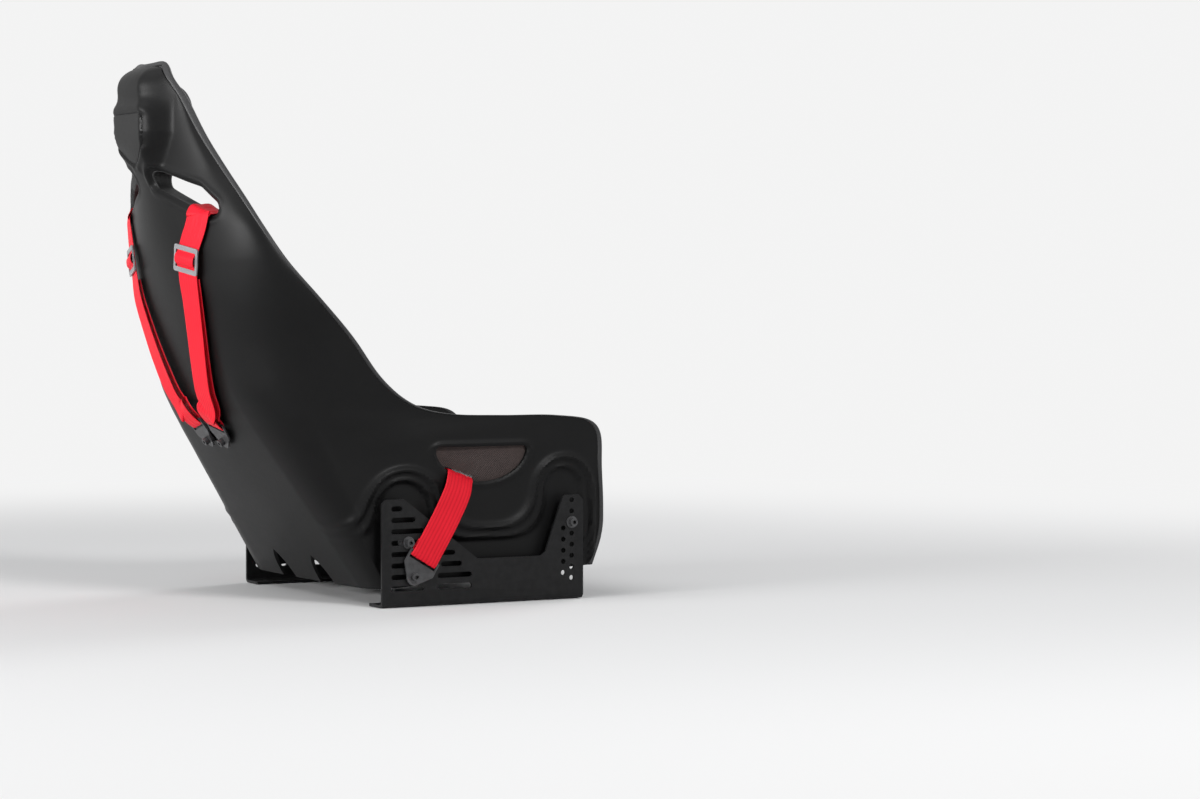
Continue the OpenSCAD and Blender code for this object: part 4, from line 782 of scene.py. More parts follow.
def head_plate():
    z = np.linspace(0, 1, 40)[:, None]
    across = np.linspace(-1, 1, 33)[None]
    height = mix(SHIELD_LOW + 1.5, SHIELD_TOP - 1.5, z ** 0.8)
    half = np.zeros_like(height)
    reach = np.linspace(0, 90, 361)
    for k, h in enumerate(height[:, 0]):
        probe = np.stack([reach, 0 * reach, 0 * reach + h], -1)
        half[k] = max(0.4, reach[shield_line(probe) < -1.2].max(initial=0.4))
    x = half * across
    depth = depth_over(rear_smooth(np.linspace(13, 18.6, 200)[:, None], np.linspace(-0.55, 0.55, 200)[None]))
    y = np.array([[depth(a, b) for a, b in zip(row, height[k] + 0 * row)] for k, row in enumerate(x)])
    edge = (1 - np.abs(across) ** 8) * np.minimum(1, np.minimum(z, 1 - z) * 16)
    y += -PLATE_SINK + PLATE_CROWN * ease(edge * 2.5)
    obj = closed_sheet("head_plate", np.stack([x, y, height + 0 * x], -1), [0, -PLATE_WALL, 0], flip=True)
    return piece(obj, SHIELD_FINISH, "shield", "head_shield")


def front_shell():
    j = np.linspace(0, FRONT_LAST, 235)[:, None]
    u = both_halves(runs((0, CREASE, 16), (CREASE, WALL, 16), (WALL, 1, 44)))
    points = over_front(j, u, 0.0)
    row = clamp(row_at(FRONT_ROWS, j)[..., 0], 0, ROW_TOP)
    edge = front_rim(row) - rear_normal(row, 1.0 + 0 * row) * FRONT_WALL
    points[:, -1] = edge[:, 0]
    points[:, 0] = edge[:, 0] * MIRROR
    slot = np.where(j < FRONT_SLOT_ROWS, shoulder_slot(points) - 4, FAR)
    out = -front_normal(j, u)
    points = points - out * (FRONT_SLOT_LIP * (1 - ease(slot / 7)))[..., None]
    obj = closed_sheet("front_shell_moulding", points[:, ::-1], -out[:, ::-1] * FRONT_WALL)
    for sign in (-1, 1):
        cut_through(obj, shoulder_slot, (sign * SLOT_MIDDLE[0], SLOT_MIDDLE[1]), 4.0, DEEP, 340, 480)
        cut_through(obj, hip_slot, HIP_SLOT_MIDDLE, 6.0, ACROSS, sign * 150, sign * 300)
    cut_through(obj, crotch_slot, (0, CROTCH_Y), 0.3, UP, 40, 200)
    sharpen(obj)
    return piece(obj, SHELL_FINISH, "shell", "front_shell")


def lip_path():
    """Middle, outward and upward directions, height, inner and outer reach along the two shells' edge."""
    s = np.linspace(0, ROW_TOP, 300)
    u_top = np.linspace(1, 0, 80)[1:]
    rows = np.concatenate([s, np.full(len(u_top), float(ROW_TOP))])
    cols = np.concatenate([np.ones(len(s)), u_top])
    at = rear_smooth(rows, cols)
    out = rear_normal(np.minimum(rows, ROW_TOP - 0.6), np.minimum(cols, 0.97))
    side_away = unit(rear_smooth(rows, 1.0) - rear_smooth(rows, 0.9))
    top_away = unit(at - rear_smooth(rows - 0.5, cols))
    corner = ease((np.arange(len(rows)) - len(s) + 14) / 26.0)[:, None]
    away = unit(mix(side_away, top_away, corner))
    middle = at - out * (REAR_WALL + FRONT_WALL + SHELL_GAP) / 2
    step = travel_along(middle)
    even = np.linspace(0, step[-1], 380)

    def spread(values):
        return np.stack([np.interp(even, step, values[:, k]) for k in range(values.shape[1])], -1)
    middle, out, away = spread(middle), spread(out), spread(away)
    height = np.interp(even, step, trim_at(rows) + LIP_OVER)
    inner = np.interp(even, step, mix(LIP_INNER_NOSE, LIP_INNER, ease(rows - 3)))
    outer = np.interp(even, step, mix(LIP_OUTER, LIP_OUTER_HEAD, ease((rows - 15) / 2)))
    whole = [np.concatenate([v, v[-2::-1] * MIRROR]) for v in (middle, out, away)]
    for k, passes in enumerate((14, 90, 60)):
        for _ in range(passes):
            whole[k][1:-1] = (whole[k][:-2] + 2 * whole[k][1:-1] + whole[k][2:]) / 4
    middle, out, away = whole
    out = unit(out)
    away = unit(away - out * (away * out).sum(-1, keepdims=True))
    return [middle, out, away] + [np.concatenate([v, v[-2::-1]]) for v in (height, inner, outer)]


def edge_lip():
    """The rounded lip along both shells' edges, parted from the rear shell by a thin groove."""
    middle, out, away, height, inner, outer = lip_path()
    turn = np.linspace(0, 2 * math.pi, 20, endpoint=False)
    wide = np.sign(np.cos(turn)) * np.abs(np.cos(turn)) ** 0.62
    tall = np.sign(np.sin(turn)) * np.abs(np.sin(turn)) ** 0.75
    across = wide * np.where(wide > 0, outer[:, None], inner[:, None])
    up = mix(LIP_UNDER, height[:, None], 0.5 + 0.5 * tall)
    rings = middle[:, None] + out[:, None] * across[..., None] + away[:, None] * up[..., None]
    return piece(swept("edge_lip", rings, flip=True), LIP_FINISH, "trim", "rim_trim")


# ---- slots ----
def slot_liner(side):
    """The ribbed tunnel between the two shells, round one shoulder slot."""
    ring = outline_of(shoulder_slot, SLOT_MIDDLE, -0.6, DEEP, 180)
    inward = unit(np.array([108.0, SLOT_Z + 6]) - ring)
    near = np.linspace(11.8, 15.6, 150)[:, None], np.linspace(0.05, 0.75, 200)[None]
    outer = depth_over(rear_smooth(*near))
    near = np.linspace(3.6, 8.0, 150)[:, None], np.linspace(0.02, 0.9, 220)[None]
    inner = depth_over(over_front(*near, 0.0))
    outer_y = np.array([outer(*p) for p in ring]) - 5.9
    inner_y = np.array([inner(*p) for p in ring]) + 3.0
    for _ in range(4):
        outer_y, inner_y = ((np.roll(v, 1) + 2 * v + np.roll(v, -1)) / 4 for v in (outer_y, inner_y))

    def layer(t, rise):
        xz = ring + inward * rise
        return np.stack([xz[:, 0], mix(outer_y, inner_y, t), xz[:, 1]], -1)
    ribbed = [layer(t, 0.5 - 0.5 * math.cos(2 * math.pi * t * LINER_RIBS)) for t in np.arange(17) / 16]
    rings = np.array(ribbed + [layer(t, -LINER_WALL) for t in (1.0, 0.0)] + ribbed[:1])
    obj = new_object(f"{side}_slot_liner", rings.reshape(-1, 3) * np.array([SIDES[side], 1, 1]),
                     grid_faces(*rings.shape[:2], around=True))
    tidy_normals(obj)
    return piece(obj, TUNNEL_FINISH, "collar", f"{side}_shoulder_slot_tunnel")


WEBBING_TILT, WEBBING_PLACE = math.radians(18), (38.0, HIP_SLOT_TOP - 44)
MESH_WALL, MESH_CLEAR, MESH_PAST_SLOT, MESH_PULL = 1.2, 2.6, 4.5, 34.0


def hip_panel(side):
    """Open mesh behind a hip slot, drawn in a little round the webbing."""
    y, z = np.broadcast_arrays(np.linspace(-94, 90, 120)[None],
                               np.linspace(HIP_SLOT_TOP - 66, HIP_SLOT_TOP + 6, 50)[:, None])
    middle = np.array(WEBBING_PLACE)
    pull = hump(np.hypot(y - middle[0], (z - middle[1]) * 1.5), MESH_PULL)
    sag = 1.2 * (1 - ((y + 2) / 90) ** 2) * np.sin(np.pi * clamp((z - HIP_SLOT_TOP + 62) / 66))
    x = HIP - REAR_WALL - MESH_CLEAR - sag - 1.5 * pull + 0.25 * np.sin(y * 0.9) * np.sin(z * 0.9)
    points = np.stack([x, y, z], -1)
    verts, keep = points.reshape(-1, 3), []
    cos, sin = math.cos(WEBBING_TILT), math.sin(WEBBING_TILT)
    for f in grid_faces(*points.shape[:2]):
        c = verts[list(f)].mean(0)
        a, b = c[1] - middle[0], c[2] - middle[1]
        along, across = a * cos + b * sin, -a * sin + b * cos
        if hip_slot(c) < MESH_PAST_SLOT and (abs(along) > WEBBING / 2 + 3 or abs(across) > 4):
            keep.append(f)
    sign = SIDES[side]
    obj = closed_sheet(f"{side}_hip_panel", points * np.array([sign, 1, 1]), [-MESH_WALL * sign, 0, 0], keep,
                       flip=sign > 0)
    return piece(obj, MESH_FINISH, "mesh", f"{side}_hip_mesh")


# ---- upholstery ----
PAD_FLOOR, PAD_DRAW, PAD_EDGE = 0.9, 0.9, 0.3
PAD_FILL, SWELL_CAP, SWELL_FRAMES, VOXEL = 0.7, 4.0, 20, 5.5
COVER = {"quality": 5, "mass": 0.3, "tension_stiffness": 18, "compression_stiffness": 18, "bending_stiffness": 0.6,
         "use_pressure": True, "uniform_pressure_force": 4.0, "vertex_group_mass": "held"}
HELD_NEAR, SEWN_NEAR = 7.5, 14
ROW_LENGTH, COLUMN_LENGTH = 46.0, 330.0
PIPING_RADIUS = 1.8


def pad_edge(a):
    return np.sqrt(np.maximum(1 - np.abs(2 * a - 1) ** 5, 0))


def pad_grid(limits, thick, rows, columns):
    """Rows and columns of the shell under a pad, its underside and its crowned top."""
    j0, j1, u0, u1 = limits
    a, b = np.linspace(0, 1, rows)[:, None], np.linspace(0, 1, columns)[None]
    a, b = np.broadcast_arrays(mix(a, ease(a), 0.4), mix(b, ease(b), 0.4))
    j, u = mix(j0, j1, a), mix(u0, u1, b)
    height = thick * PAD_DRAW * (PAD_EDGE + (1 - PAD_EDGE) * pad_edge(a) * pad_edge(b))
    floor = over_front(j, u, PAD_FLOOR)
    return j, u, floor, floor - front_normal(j, u) * height[..., None]


def upholstered(name, node, limits, thick, material, slot, channels):
    """A padded cover: swollen as cloth, with its seams and sewn channels drawn in afterwards."""
    rows, columns = 34, 30
    j, u, floor, top = pad_grid(limits, thick, rows, columns)
    count = rows * columns
    faces = [f[::-1] for f in grid_faces(rows, columns)]
    faces += [tuple(k + count for k in f[::-1]) for f in faces]
    ring = ([k for k in range(columns)] + [r * columns + columns - 1 for r in range(1, rows)]
            + [(rows - 1) * columns + k for k in range(columns - 2, -1, -1)]
            + [r * columns for r in range(rows - 2, 0, -1)])
    faces += [(a, b, b + count, a + count) for a, b in zip(ring, ring[1:] + ring[:1])]
    obj = new_object(name, np.concatenate([top.reshape(-1, 3), floor.reshape(-1, 3)]), faces)
    tidy_normals(obj, 0.01)
    swell(obj, floor.reshape(-1, 3))
    subdivide(obj)
    sew(obj, j, u, floor, top, channels)
    return piece(obj, material, slot, node)


def subdivide(obj):
    smooth = obj.modifiers.new("smooth", "SUBSURF")
    smooth.levels = smooth.render_levels = 1
    apply_modifiers(obj)


def swell(obj, floor):
    """Remeshes a pad, lets air pressure fill it for some frames and limits how far it grows."""
    remesh = obj.modifiers.new("remesh", "REMESH")
    remesh.mode = "VOXEL"
    remesh.voxel_size = VOXEL * MM
    apply_modifiers(obj)
    mesh = obj.data
    tree = tree_of(floor * MM)
    held = obj.vertex_groups.new(name="held")
    for v in mesh.vertices:
        if tree.find(v.co)[2] < HELD_NEAR * MM:
            held.add([v.index], 1.0, "REPLACE")
    rest = np.array([v.co for v in mesh.vertices])
    cloth = obj.modifiers.new("cloth", "CLOTH")
    for setting, value in COVER.items():
        setattr(cloth.settings, setting, value)
    cloth.settings.effector_weights.gravity = 0.0
    cloth.collision_settings.use_self_collision = False
    scene = bpy.context.scene
    for k in range(SWELL_FRAMES):
        scene.frame_set(k + 1)
    shown = bpy.context.evaluated_depsgraph_get()
    grown = np.array([v.co for v in obj.evaluated_get(shown).data.vertices])
    obj.modifiers.clear()
    scene.frame_set(1)
    move = grown - rest
    size = np.linalg.norm(move, axis=1, keepdims=True)
    move *= np.minimum(1.0, SWELL_CAP * MM / np.maximum(size, 1e-9))
    for v, p in zip(mesh.vertices, rest + move):
        v.co = p


def sew(obj, j, u, floor, top, channels):
    """Draws the cover in along its channels; a channel is (kind, place, depth, width)."""
    tree = tree_of(top.reshape(-1, 3) * MM)
    runs_along = {"row": (j.reshape(-1), ROW_LENGTH), "column": (u.reshape(-1), COLUMN_LENGTH)}
    down = unit(floor - top).reshape(-1, 3)
    for v in obj.data.vertices:
        _, k, away = tree.find(v.co)
        if away > SEWN_NEAR * MM:
            continue
        shift = 0.0
        for kind, place, depth, width in channels:
            at, reach = runs_along[kind]
            shift += depth * math.exp(-(((at[k] - place) * reach) / width) ** 2)
        if shift:
            v.co += Vector(down[k] * shift * MM)


def piping(name, limits, thick):
    """A thin welt round the edge of a pad, half way up its side."""
    j0, j1, u0, u1 = limits
    t = np.linspace(0, 1, 60, endpoint=False)
    j = np.concatenate([j0 + 0 * t, mix(j0, j1, t), j1 + 0 * t, mix(j1, j0, t)])
    u = np.concatenate([mix(u0, u1, t), u1 + 0 * t, mix(u1, u0, t), u0 + 0 * t])
    path = over_front(j, u, PAD_FLOOR + thick * PAD_EDGE * PAD_DRAW)
    for _ in range(6):
        path = (np.roll(path, 1, 0) + path * 2 + np.roll(path, -1, 0)) / 4
    ahead = unit(np.roll(path, -1, 0) - np.roll(path, 1, 0))
    side = unit(np.cross(ahead, np.array([0.0, 0.0, 1.0])) + 1e-6)
    other = np.cross(ahead, side)
    turn = np.linspace(0, 2 * math.pi, 8, endpoint=False)
    rings = (path[:, None] + side[:, None] * (np.cos(turn) * PIPING_RADIUS)[None, :, None]
             + other[:, None] * (np.sin(turn) * PIPING_RADIUS)[None, :, None])
    return piece(swept(name, rings, joined=True), PIPING_FINISH, "cushion")


# ---- webbing ----
LAP_LEAN = math.radians(31)
SHOULDER_LEAN = math.radians(14)
BACK_LEAN = math.radians(33.5)
BAR_REACH, BAR_HALF = 36.0, 2.5
BRACKET_OUTER = 274.5
ANCHOR_FACE = BRACKET_OUTER + 3.5
ANCHOR_STEEL = 3.0
ANCHOR_PIVOT = (131.0, 49.1)
ANCHOR_Y, ANCHOR_Z = 354.0, base(0.871)
BUCKLE_Y = 22.0
PAD_LIFT, STRAP_OVER_PAD = 0.3, 3.6
BUCKLE_Z = float(over_front(18.0, 0.0, SEAT_PAD + PAD_LIFT)[2]) + 6.2
TONGUE_Z = BUCKLE_Z + 10
TONGUE_REACH = 75.0
TONGUE_TURN = math.radians(56)
STRAP_GAP = 0.8
LAP_OUTER = ANCHOR_FACE + ANCHOR_STEEL + STRAP_GAP + WEBBING_THICK / 2
LAP_INNER = ANCHOR_FACE - STRAP_GAP - WEBBING_THICK / 2
STRAP_OFFSET = 149.0
SLOT_FLOOR = SLOT_Z - 18
PAD_HEIGHTS = [(6.9, 8), (7.6, BACK_PAD * 0.6), (8.3, BACK_PAD), (11, BACK_PAD), (12, LUMBAR_PAD),
               (15.4, LUMBAR_PAD), (16.4, SEAT_PAD)]


def on_lap_anchor(x, along):
    return [x, ANCHOR_PIVOT[0] - along * math.sin(LAP_LEAN), ANCHOR_PIVOT[1] + along * math.cos(LAP_LEAN)]


def on_pads(j, u):
    height = np.interp(j, *zip(*PAD_HEIGHTS))
    return list(over_front(j, u, PAD_LIFT + STRAP_OVER_PAD + height))


def back_place(s, u, out):
    return list(rear_smooth(s, u) + rear_normal(s, u) * out)


def on_shoulder_anchor(out, along):
    up = np.array([math.sin(SHOULDER_LEAN), math.sin(BACK_LEAN) * math.cos(SHOULDER_LEAN),
                   math.cos(BACK_LEAN) * math.cos(SHOULDER_LEAN)])
    away = np.array([0, math.cos(BACK_LEAN), -math.sin(BACK_LEAN)])
    return list(np.array([32.0, ANCHOR_Y, ANCHOR_Z]) + up * along + away * out)


def along_back(s, u):
    return list(unit(rear_smooth(s, u + 0.03) - rear_smooth(s, u - 0.03)))


LAP_STOPS = np.array([
    on_lap_anchor(ANCHOR_FACE + 1.5, BAR_REACH + 22), on_lap_anchor(LAP_INNER + 0.4, BAR_REACH + 10),
    on_lap_anchor(LAP_INNER, BAR_REACH), on_lap_anchor(ANCHOR_FACE + 1.5, BAR_REACH - BAR_HALF - 4.2),
    on_lap_anchor(LAP_OUTER, BAR_REACH), on_lap_anchor(LAP_OUTER, BAR_REACH + 10),
    [LAP_OUTER - 1, 76, 140], [HIP + 15, 52, 182], [HIP + 9, 43, 204], [HIP - 2, 38, 213],
    [HIP - 22, 36, 214], [HIP - 50, 34, 206], [186, 30, 186], [156, 27, TONGUE_Z + 14],
    [124, 25, TONGUE_Z + 3], [98, 22, TONGUE_Z + 0.5], [TONGUE_REACH + 0.6, 22, TONGUE_Z]])
LAP_TILT = [0, math.cos(LAP_LEAN), math.sin(LAP_LEAN)]
LAP_ACROSS = np.array([LAP_TILT] * 8 + [[0, 0.88, 0.47], [0, 0.92, 0.38], [0, 0.95, 0.31], [0, 0.98, 0.2]]
                      + [[0, 1, 0]] * 5)


def beyond_tongue(out, rise):
    reach = TONGUE_REACH + out
    return [reach * math.cos(TONGUE_TURN), BUCKLE_Y + reach * math.sin(TONGUE_TURN), TONGUE_Z + rise]


OVER_CHEST = [(16.0, 0.09), (15.2, 0.095), (14.4, 0.10), (13.5, 0.12), (12.5, 0.15), (11.5, 0.18), (10.5, 0.215),
              (9.5, 0.25), (8.5, 0.29), (7.7, 0.325)]
IN_SLOT = [[STRAP_OFFSET - 2, 406, SLOT_FLOOR - 15], [STRAP_OFFSET, 419, SLOT_FLOOR - 2],
           [STRAP_OFFSET, 436, SLOT_FLOOR - 1.8], [STRAP_OFFSET, 445, SLOT_FLOOR - 2.4],
           [STRAP_OFFSET - 0.2, 451.2, SLOT_FLOOR - 6.6]]
LOW_BACK = [(9.9, 0.25), (9.18, 0.207), (8.65, 0.174), (8.04, 0.14), (7.37, 0.115)]
DOWN_BACK = [(12.35, 0.33), (11.97, 0.315), (11.3, 0.29), (10.6, 0.274)] + LOW_BACK
UP_BACK = LOW_BACK[::-1] + [(10.5, 0.272)]
OUT_DOWN, OUT_UP = (4, 4.5, 6, 8, 11, 13, 14.5, 15.5, 15), (5.5, 6.5, 6.5, 6, 5, 4)
ROUND_ANCHOR = [(14, BAR_REACH + 22), (11.6, BAR_REACH + 4), (6.7, BAR_REACH - 7.7), (3.2, BAR_REACH + 2),
                (4.5, BAR_REACH + 20)]
SHOULDER_STOPS = np.array(
    [beyond_tongue(1.6, 0), beyond_tongue(28, 7)] + [on_pads(*at) for at in OVER_CHEST] + IN_SLOT
    + [back_place(*at, out) for at, out in zip(DOWN_BACK, OUT_DOWN)] + [on_shoulder_anchor(*at) for at in ROUND_ANCHOR]
    + [back_place(*at, out) for at, out in zip(UP_BACK, OUT_UP)])
TURNED = [math.cos(SHOULDER_LEAN), -math.sin(SHOULDER_LEAN) * math.sin(BACK_LEAN),
          -math.sin(SHOULDER_LEAN) * math.cos(BACK_LEAN)]
SHOULDER_ACROSS = np.array(
    [[0.83, -0.56, 0], [0.95, -0.3, 0]] + [[1, -0.12, 0]] * 9 + [[1, -0.14, -0.12], [0.97, -0.12, -0.24]]
    + [[0.94, -0.06, -0.33]] * 2 + [[0.90, -0.29, -0.32]] * 2 + [along_back(*at) for at in DOWN_BACK]
    + [TURNED] * len(ROUND_ANCHOR) + [along_back(*at) for at in UP_BACK])
SLOT_STOP = 14.4
REAR_ADJUSTER_STOP, FRONT_ADJUSTER_STOP = 19.3, 6.5
BAR_TOP, FOLD_HALF = 6.2, 15.5


def strap_frames(stops, across, at):
    place = row_at(stops, at)
    ahead = unit(row_at(stops, np.minimum(at + 0.05, len(stops) - 1)) - row_at(stops, np.maximum(at - 0.05, 0)))
    wide = row_at(across, at)
    wide = unit(wide - ahead * (wide * ahead).sum(-1, keepdims=True))
    return place, ahead, wide, unit(np.cross(wide, ahead))


def band(name, side, place, wide, out, turn, flat, lift, thick, length):
    """A band of webbing from its middle line; turn runs from -1 to 1 across it."""
    top, low = (place[:, None] + wide * flat[None, :, None] + out * (lift + up)[..., None] for up in (thick, -thick))
    rings = np.concatenate([top, low[:, ::-1]], 1) * np.array([SIDES[side], 1, 1])
    obj = swept(f"{side}_{name}", rings)
    marks = obj.data.attributes.new("on_strap", "FLOAT_VECTOR", "POINT")
    values = np.zeros(rings.shape, np.float32)
    values[..., 0] = np.concatenate([turn, turn[::-1]]) * 0.5
    values[..., 1] = (length * MM)[:, None]
    marks.data.foreach_set("vector", values.reshape(-1))
    tidy_normals(obj, 0.0)
    return dress(obj, WEBBING_FINISH)


def webbing(name, side, stops, across, at, creases):
    """Flat webbing with rounded edges; a crease is (stop, spread, height) of folds across the width."""
    place, _, wide, out = strap_frames(stops, across, at)
    turn = np.linspace(-1, 1, 23)
    flat = np.sign(turn) * (1 - (1 - np.abs(turn)) ** 1.25) * (WEBBING / 2)
    thick = WEBBING_THICK / 2 * np.sqrt(np.maximum(1 - np.abs(turn) ** 14, 0.12))
    lift = np.zeros((len(at), len(turn)))
    for stop, spread, height in creases:
        fade = hump(at - stop, spread)[:, None]
        lift += fade * height * (np.sin(turn * 9.0 + at[:, None] * 1.7) * 0.6 + np.sin(turn * 17.0 + 1.3) * 0.4)
    return band(name, side, place, wide[:, None], out[:, None], turn, flat, lift, thick, travel_along(place))


def bending(obj, side, node):
    """Hides the CAD strap that the webbing stands for and writes the webbing's placement into its mesh."""
    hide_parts(f"{side}_{node}")
    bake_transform(obj)


def shoulder_webbing(side):
    front = webbing("shoulder_webbing_front", side, SHOULDER_STOPS, SHOULDER_ACROSS, np.linspace(0, SLOT_STOP, 190),
                    [(13.5, 1.4, 0.5)])
    piece(front, WEBBING_FINISH, "webbing", f"{side}_shoulder_strap")
    rear = webbing("shoulder_webbing_back", side, SHOULDER_STOPS, SHOULDER_ACROSS,
                   np.linspace(SLOT_STOP - 0.02, len(SHOULDER_STOPS) - 1, 420), [(17.6, 1.2, 0.4), (27.5, 1.0, 0.4)])
    bending(rear, side, "shoulder_strap")


def lap_webbing(side):
    lap = webbing("lap_webbing", side, LAP_STOPS, LAP_ACROSS, np.linspace(0, len(LAP_STOPS) - 1, 300),
                  [(9.5, 1.6, 0.7), (2.5, 1.2, 0.3)])
    bending(lap, side, "lap_strap")


def adjuster_fold(side, which, stop, ends):
    """The webbing doubled over an adjuster's middle bar, which moves with it; ends is how high its ends stand."""
    place, ahead, wide, out = (v[0] for v in strap_frames(SHOULDER_STOPS, SHOULDER_ACROSS, np.array([stop])))
    along = np.linspace(-FOLD_HALF, FOLD_HALF, 46)
    rise = mix(ends, BAR_TOP, ease((13.2 - np.abs(along)) / 8.5)) + 0.5 * np.cos(along * 0.3)
    turn = np.linspace(-1, 1, 19)
    flat = turn * (WEBBING / 2 - 0.4)
    thick = WEBBING_THICK / 2 * np.sqrt(np.maximum(1 - np.abs(turn) ** 12, 0.15))
    middle = place + out * (WEBBING_THICK / 2) + ahead * along[:, None]
    obj = band(f"{which}_adjuster_fold", side, middle, wide, out, turn, flat, rise[:, None] + 0.5 * (1 - turn ** 2),
               thick, along)
    return piece(obj, WEBBING_FINISH, "webbing", body=f"{side}_{which}_adjuster")


# ---- CAD pieces that stay, with rounded edges and their finishes ----
KEPT = {
    "bracket_screws": (BLACK_STEEL, 0.6), "bracket_washers": (BLACK_STEEL, 0.3),
    "bracket_spacers": (BLACK_STEEL, 0.4), "shell_inserts": (BRASS, 0.4),
    "shoulder_anchor_screws": (BLACK_STEEL, 0.6), "shoulder_anchor_plate": (BRIGHT_STEEL, 0.4),
    "lap_anchor_screws": (BLACK_STEEL, 0.6), "lap_anchor_bushes": (BRIGHT_STEEL, 0.3),
    "buckle_base": (BRIGHT_STEEL, 0.8), "buckle_housing": (BUCKLE_FINISH, 1.2),
    "release_knob": (KNOB_FINISH, 1.4), "latch_cam": (BRIGHT_STEEL, 0.3), "knob_spring": (BRIGHT_STEEL, 0.3),
    "crotch_slot_collar": (TUNNEL_FINISH, 0.6)}
for side in SIDES:
    KEPT[f"{side}_bracket"] = (BRACKET_FINISH, 0.7)
    KEPT[f"{side}_lap_anchor"] = (BLACK_STEEL, 0.6)
    KEPT[f"{side}_shoulder_anchor"] = (BLACK_STEEL, 0.6)
    KEPT[f"{side}_rear_adjuster"] = (ADJUSTER_STEEL, 0.9)
    KEPT[f"{side}_front_adjuster"] = (BLACK_STEEL, 0.9)
    for strap in ("lap", "shoulder"):
        KEPT[f"{side}_{strap}_tongue"] = (BRIGHT_STEEL, 0.5)
        KEPT[f"{side}_{strap}_pawl"] = (BRIGHT_STEEL, 0.2)


def keep_nodes():
    for name, (material, width) in KEPT.items():
        obj = dress(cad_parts[name], material)
        bevel = obj.modifiers.new("edges", "BEVEL")
        bevel.width = width * MM
        bevel.segments = 2
        bevel.limit_method = "ANGLE"
        bevel.angle_limit = math.radians(BEVEL_ANGLE)
        bevel.harden_normals = True


# ---- building ----
rear_shell()
head_plate()
front_shell()
edge_lip()
for side in SIDES:
    slot_liner(side)
    hip_panel(side)
    shoulder_webbing(side)
    lap_webbing(side)
    adjuster_fold(side, "rear", REAR_ADJUSTER_STOP, 1.2)
    adjuster_fold(side, "front", FRONT_ADJUSTER_STOP, 2.5)
keep_nodes()

# first and last row, half width or nearest and furthest place across, thickness, and the sewn channels
PAD_U, HEAD_U, BOLSTER_U, BOLSTER_SEAM, BOLSTER_OUTER = 0.347, 0.413, 0.413, 0.64, 0.87
PADS = {"seat": (16.3, 22.4, PAD_U, SEAT_PAD, [("row", at, 4.0, 4.0) for at in (17.7, 19.3, 20.9)]),
        "lumbar": (11.6, 15.9, PAD_U, LUMBAR_PAD, [("row", at, 4.0, 4.0) for at in (13.0, 14.4)]),
        "back": (6.95, 11.3, PAD_U, BACK_PAD, [("row", at, 3.5, 4.0) for at in (8.4, 9.85)]),
        "head": (1.7, 4.6, HEAD_U, HEAD_PAD, [("column", at, 3.5, 4.0) for at in (-0.2, 0.2)])}
for place, (j0, j1, u, thick, channels) in PADS.items():
    limits = (j0, j1, -u, u)
    upholstered(f"{place}_pad", f"{place}_cushion", limits, thick, CUSHION_FINISH, "cushion", channels)
    piping(f"{place}_pad_piping", limits, thick)
BOLSTERS = {"thigh": (19.5, 22.3, BOLSTER_PAD), "rib": (9.9, 14.6, BOLSTER_PAD),
            "shoulder": (7.0, 9.6, BOLSTER_PAD * 0.8)}
for side, sign in SIDES.items():
    for place, (j0, j1, thick) in BOLSTERS.items():
        limits = (j0, j1, *sorted((sign * BOLSTER_U, sign * BOLSTER_OUTER)))
        name = f"{side}_{place}_bolster"
        upholstered(f"{name}_pad", name, limits, thick, BOLSTER_FINISH, "bolster",
                    [("column", sign * BOLSTER_SEAM, 3.0, 3.5)])
        piping(f"{name}_piping", limits, thick)


# ---- floor, light and camera ----
def aim_lamp(data, place):
    lamp = bpy.data.objects.new(data.name, data)
    bpy.context.scene.collection.objects.link(lamp)
    lamp.location = place
    lamp.rotation_euler = (Vector((0, 0.1, 0.45)) - Vector(place)).to_track_quat("-Z", "Y").to_euler()
    return lamp


PALE_FLOOR = (0.80, 0.80, 0.80, 1)
BACKDROP = (0.90, 0.90, 0.90, 1)
SKY = (0.86, 0.89, 0.95, 1)
FLOOR_HALF = 90000
FADE_FROM, FADE_TO = 0.9, 3.4
LENS = 98.4
CAMERA_PLACE, CAMERA_AHEAD, CAMERA_PITCH = (-5.0535, 2.5067, 0.5182), (0.8686, -0.4955), math.radians(-1.938)
# name, place, size and power
LAMPS = [("back light", (-0.3, 4.5, 1.05), (3.0, 0.7), 165), ("side light", (-4.1, -0.4, 2.7), (1.4, 1.4), 104),
         ("front light", (1.9, -4.0, 2.7), (2.2, 2.2), 80)]


def looked_at(wires):
    """One for rays that see the backdrop directly, in a gloss or through glass, and nothing for its light."""
    path = wires.add("LightPath")
    seen = wires.math("MAXIMUM", path["Is Camera Ray"], path["Is Glossy Ray"])
    return wires.math("MAXIMUM", seen, path["Is Transmission Ray"])


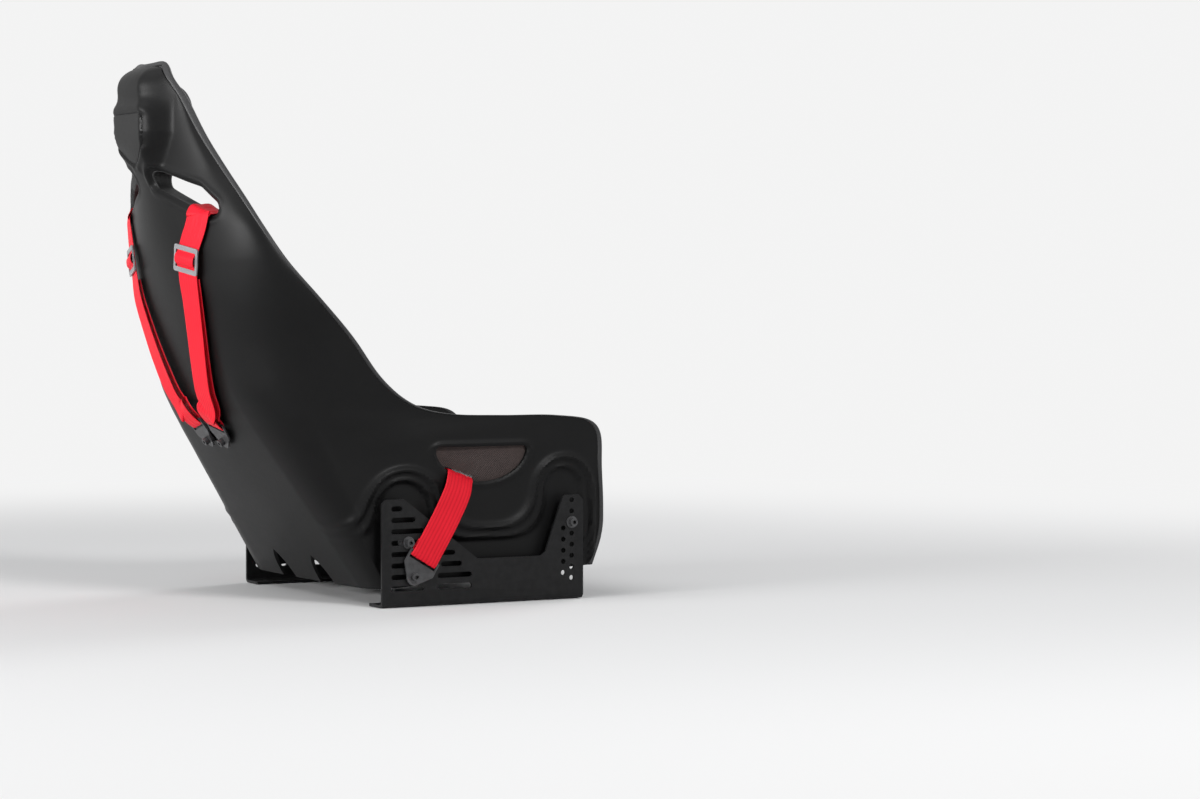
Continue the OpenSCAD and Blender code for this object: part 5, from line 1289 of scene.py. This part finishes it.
def pale_floor():
    """A floor that fades into the backdrop away from the seat."""
    corners = [[-FLOOR_HALF, -FLOOR_HALF, -1], [FLOOR_HALF, -FLOOR_HALF, -1],
               [FLOOR_HALF, FLOOR_HALF, -1], [-FLOOR_HALF, FLOOR_HALF, -1]]
    floor = new_object("floor", corners, [(0, 1, 2, 3)], smooth=False)
    material = bpy.data.materials.new("pale floor")
    material.use_nodes = True
    wires = Wiring(material.node_tree)
    reach = wires.add("VectorMath", {0: wires.add("TexCoord")["Object"]}, operation="LENGTH")["Value"]
    far = wires.add("MapRange", {"Value": reach, "From Min": FADE_FROM, "From Max": FADE_TO},
                    interpolation_type="SMOOTHERSTEP")[0]
    far = wires.math("MULTIPLY", far, looked_at(wires))
    wires.feed(wires.nodes["Principled BSDF"].inputs, {
        "Roughness": 0.9, "Specular IOR Level": 0.0, "Emission Strength": 1.0,
        "Base Color": wires.blend(far, PALE_FLOOR, BLACK), "Emission Color": wires.blend(far, BLACK, BACKDROP)})
    dress(floor, material)


def backdrop():
    world = bpy.data.worlds.new("studio")
    bpy.context.scene.world = world
    world.use_nodes = True
    wires = Wiring(world.node_tree)
    lit = wires.nodes["Background"]
    wires.feed(lit.inputs, {"Color": SKY, "Strength": 0.12})
    seen = wires.add("Background", {"Color": BACKDROP})
    shown = wires.add("MixShader", {0: looked_at(wires), 1: lit.outputs[0], 2: seen[0]})
    wires.feed(wires.nodes["World Output"].inputs, {"Surface": shown[0]})


def studio():
    scene = bpy.context.scene
    scene.view_settings.view_transform = "Standard"
    pale_floor()
    backdrop()
    sun = bpy.data.lights.new("high soft light", "SUN")
    sun.energy = 1.0
    sun.angle = math.radians(50)
    aim_lamp(sun, (-0.3, 2.6, 4.4))
    for name, place, size, power in LAMPS:
        data = bpy.data.lights.new(name, "AREA")
        data.shape = "ELLIPSE"
        data.size, data.size_y = size
        data.energy = power
        aim_lamp(data, place).visible_camera = False

    data = bpy.data.cameras.new("camera")
    data.lens, data.sensor_width = LENS, 36
    camera = bpy.data.objects.new("camera", data)
    scene.collection.objects.link(camera)
    camera.location = CAMERA_PLACE
    look = Vector((CAMERA_AHEAD[0] * math.cos(CAMERA_PITCH), CAMERA_AHEAD[1] * math.cos(CAMERA_PITCH),
                   math.sin(CAMERA_PITCH)))
    camera.rotation_euler = look.to_track_quat("-Z", "Y").to_euler()
    scene.camera = camera


studio()
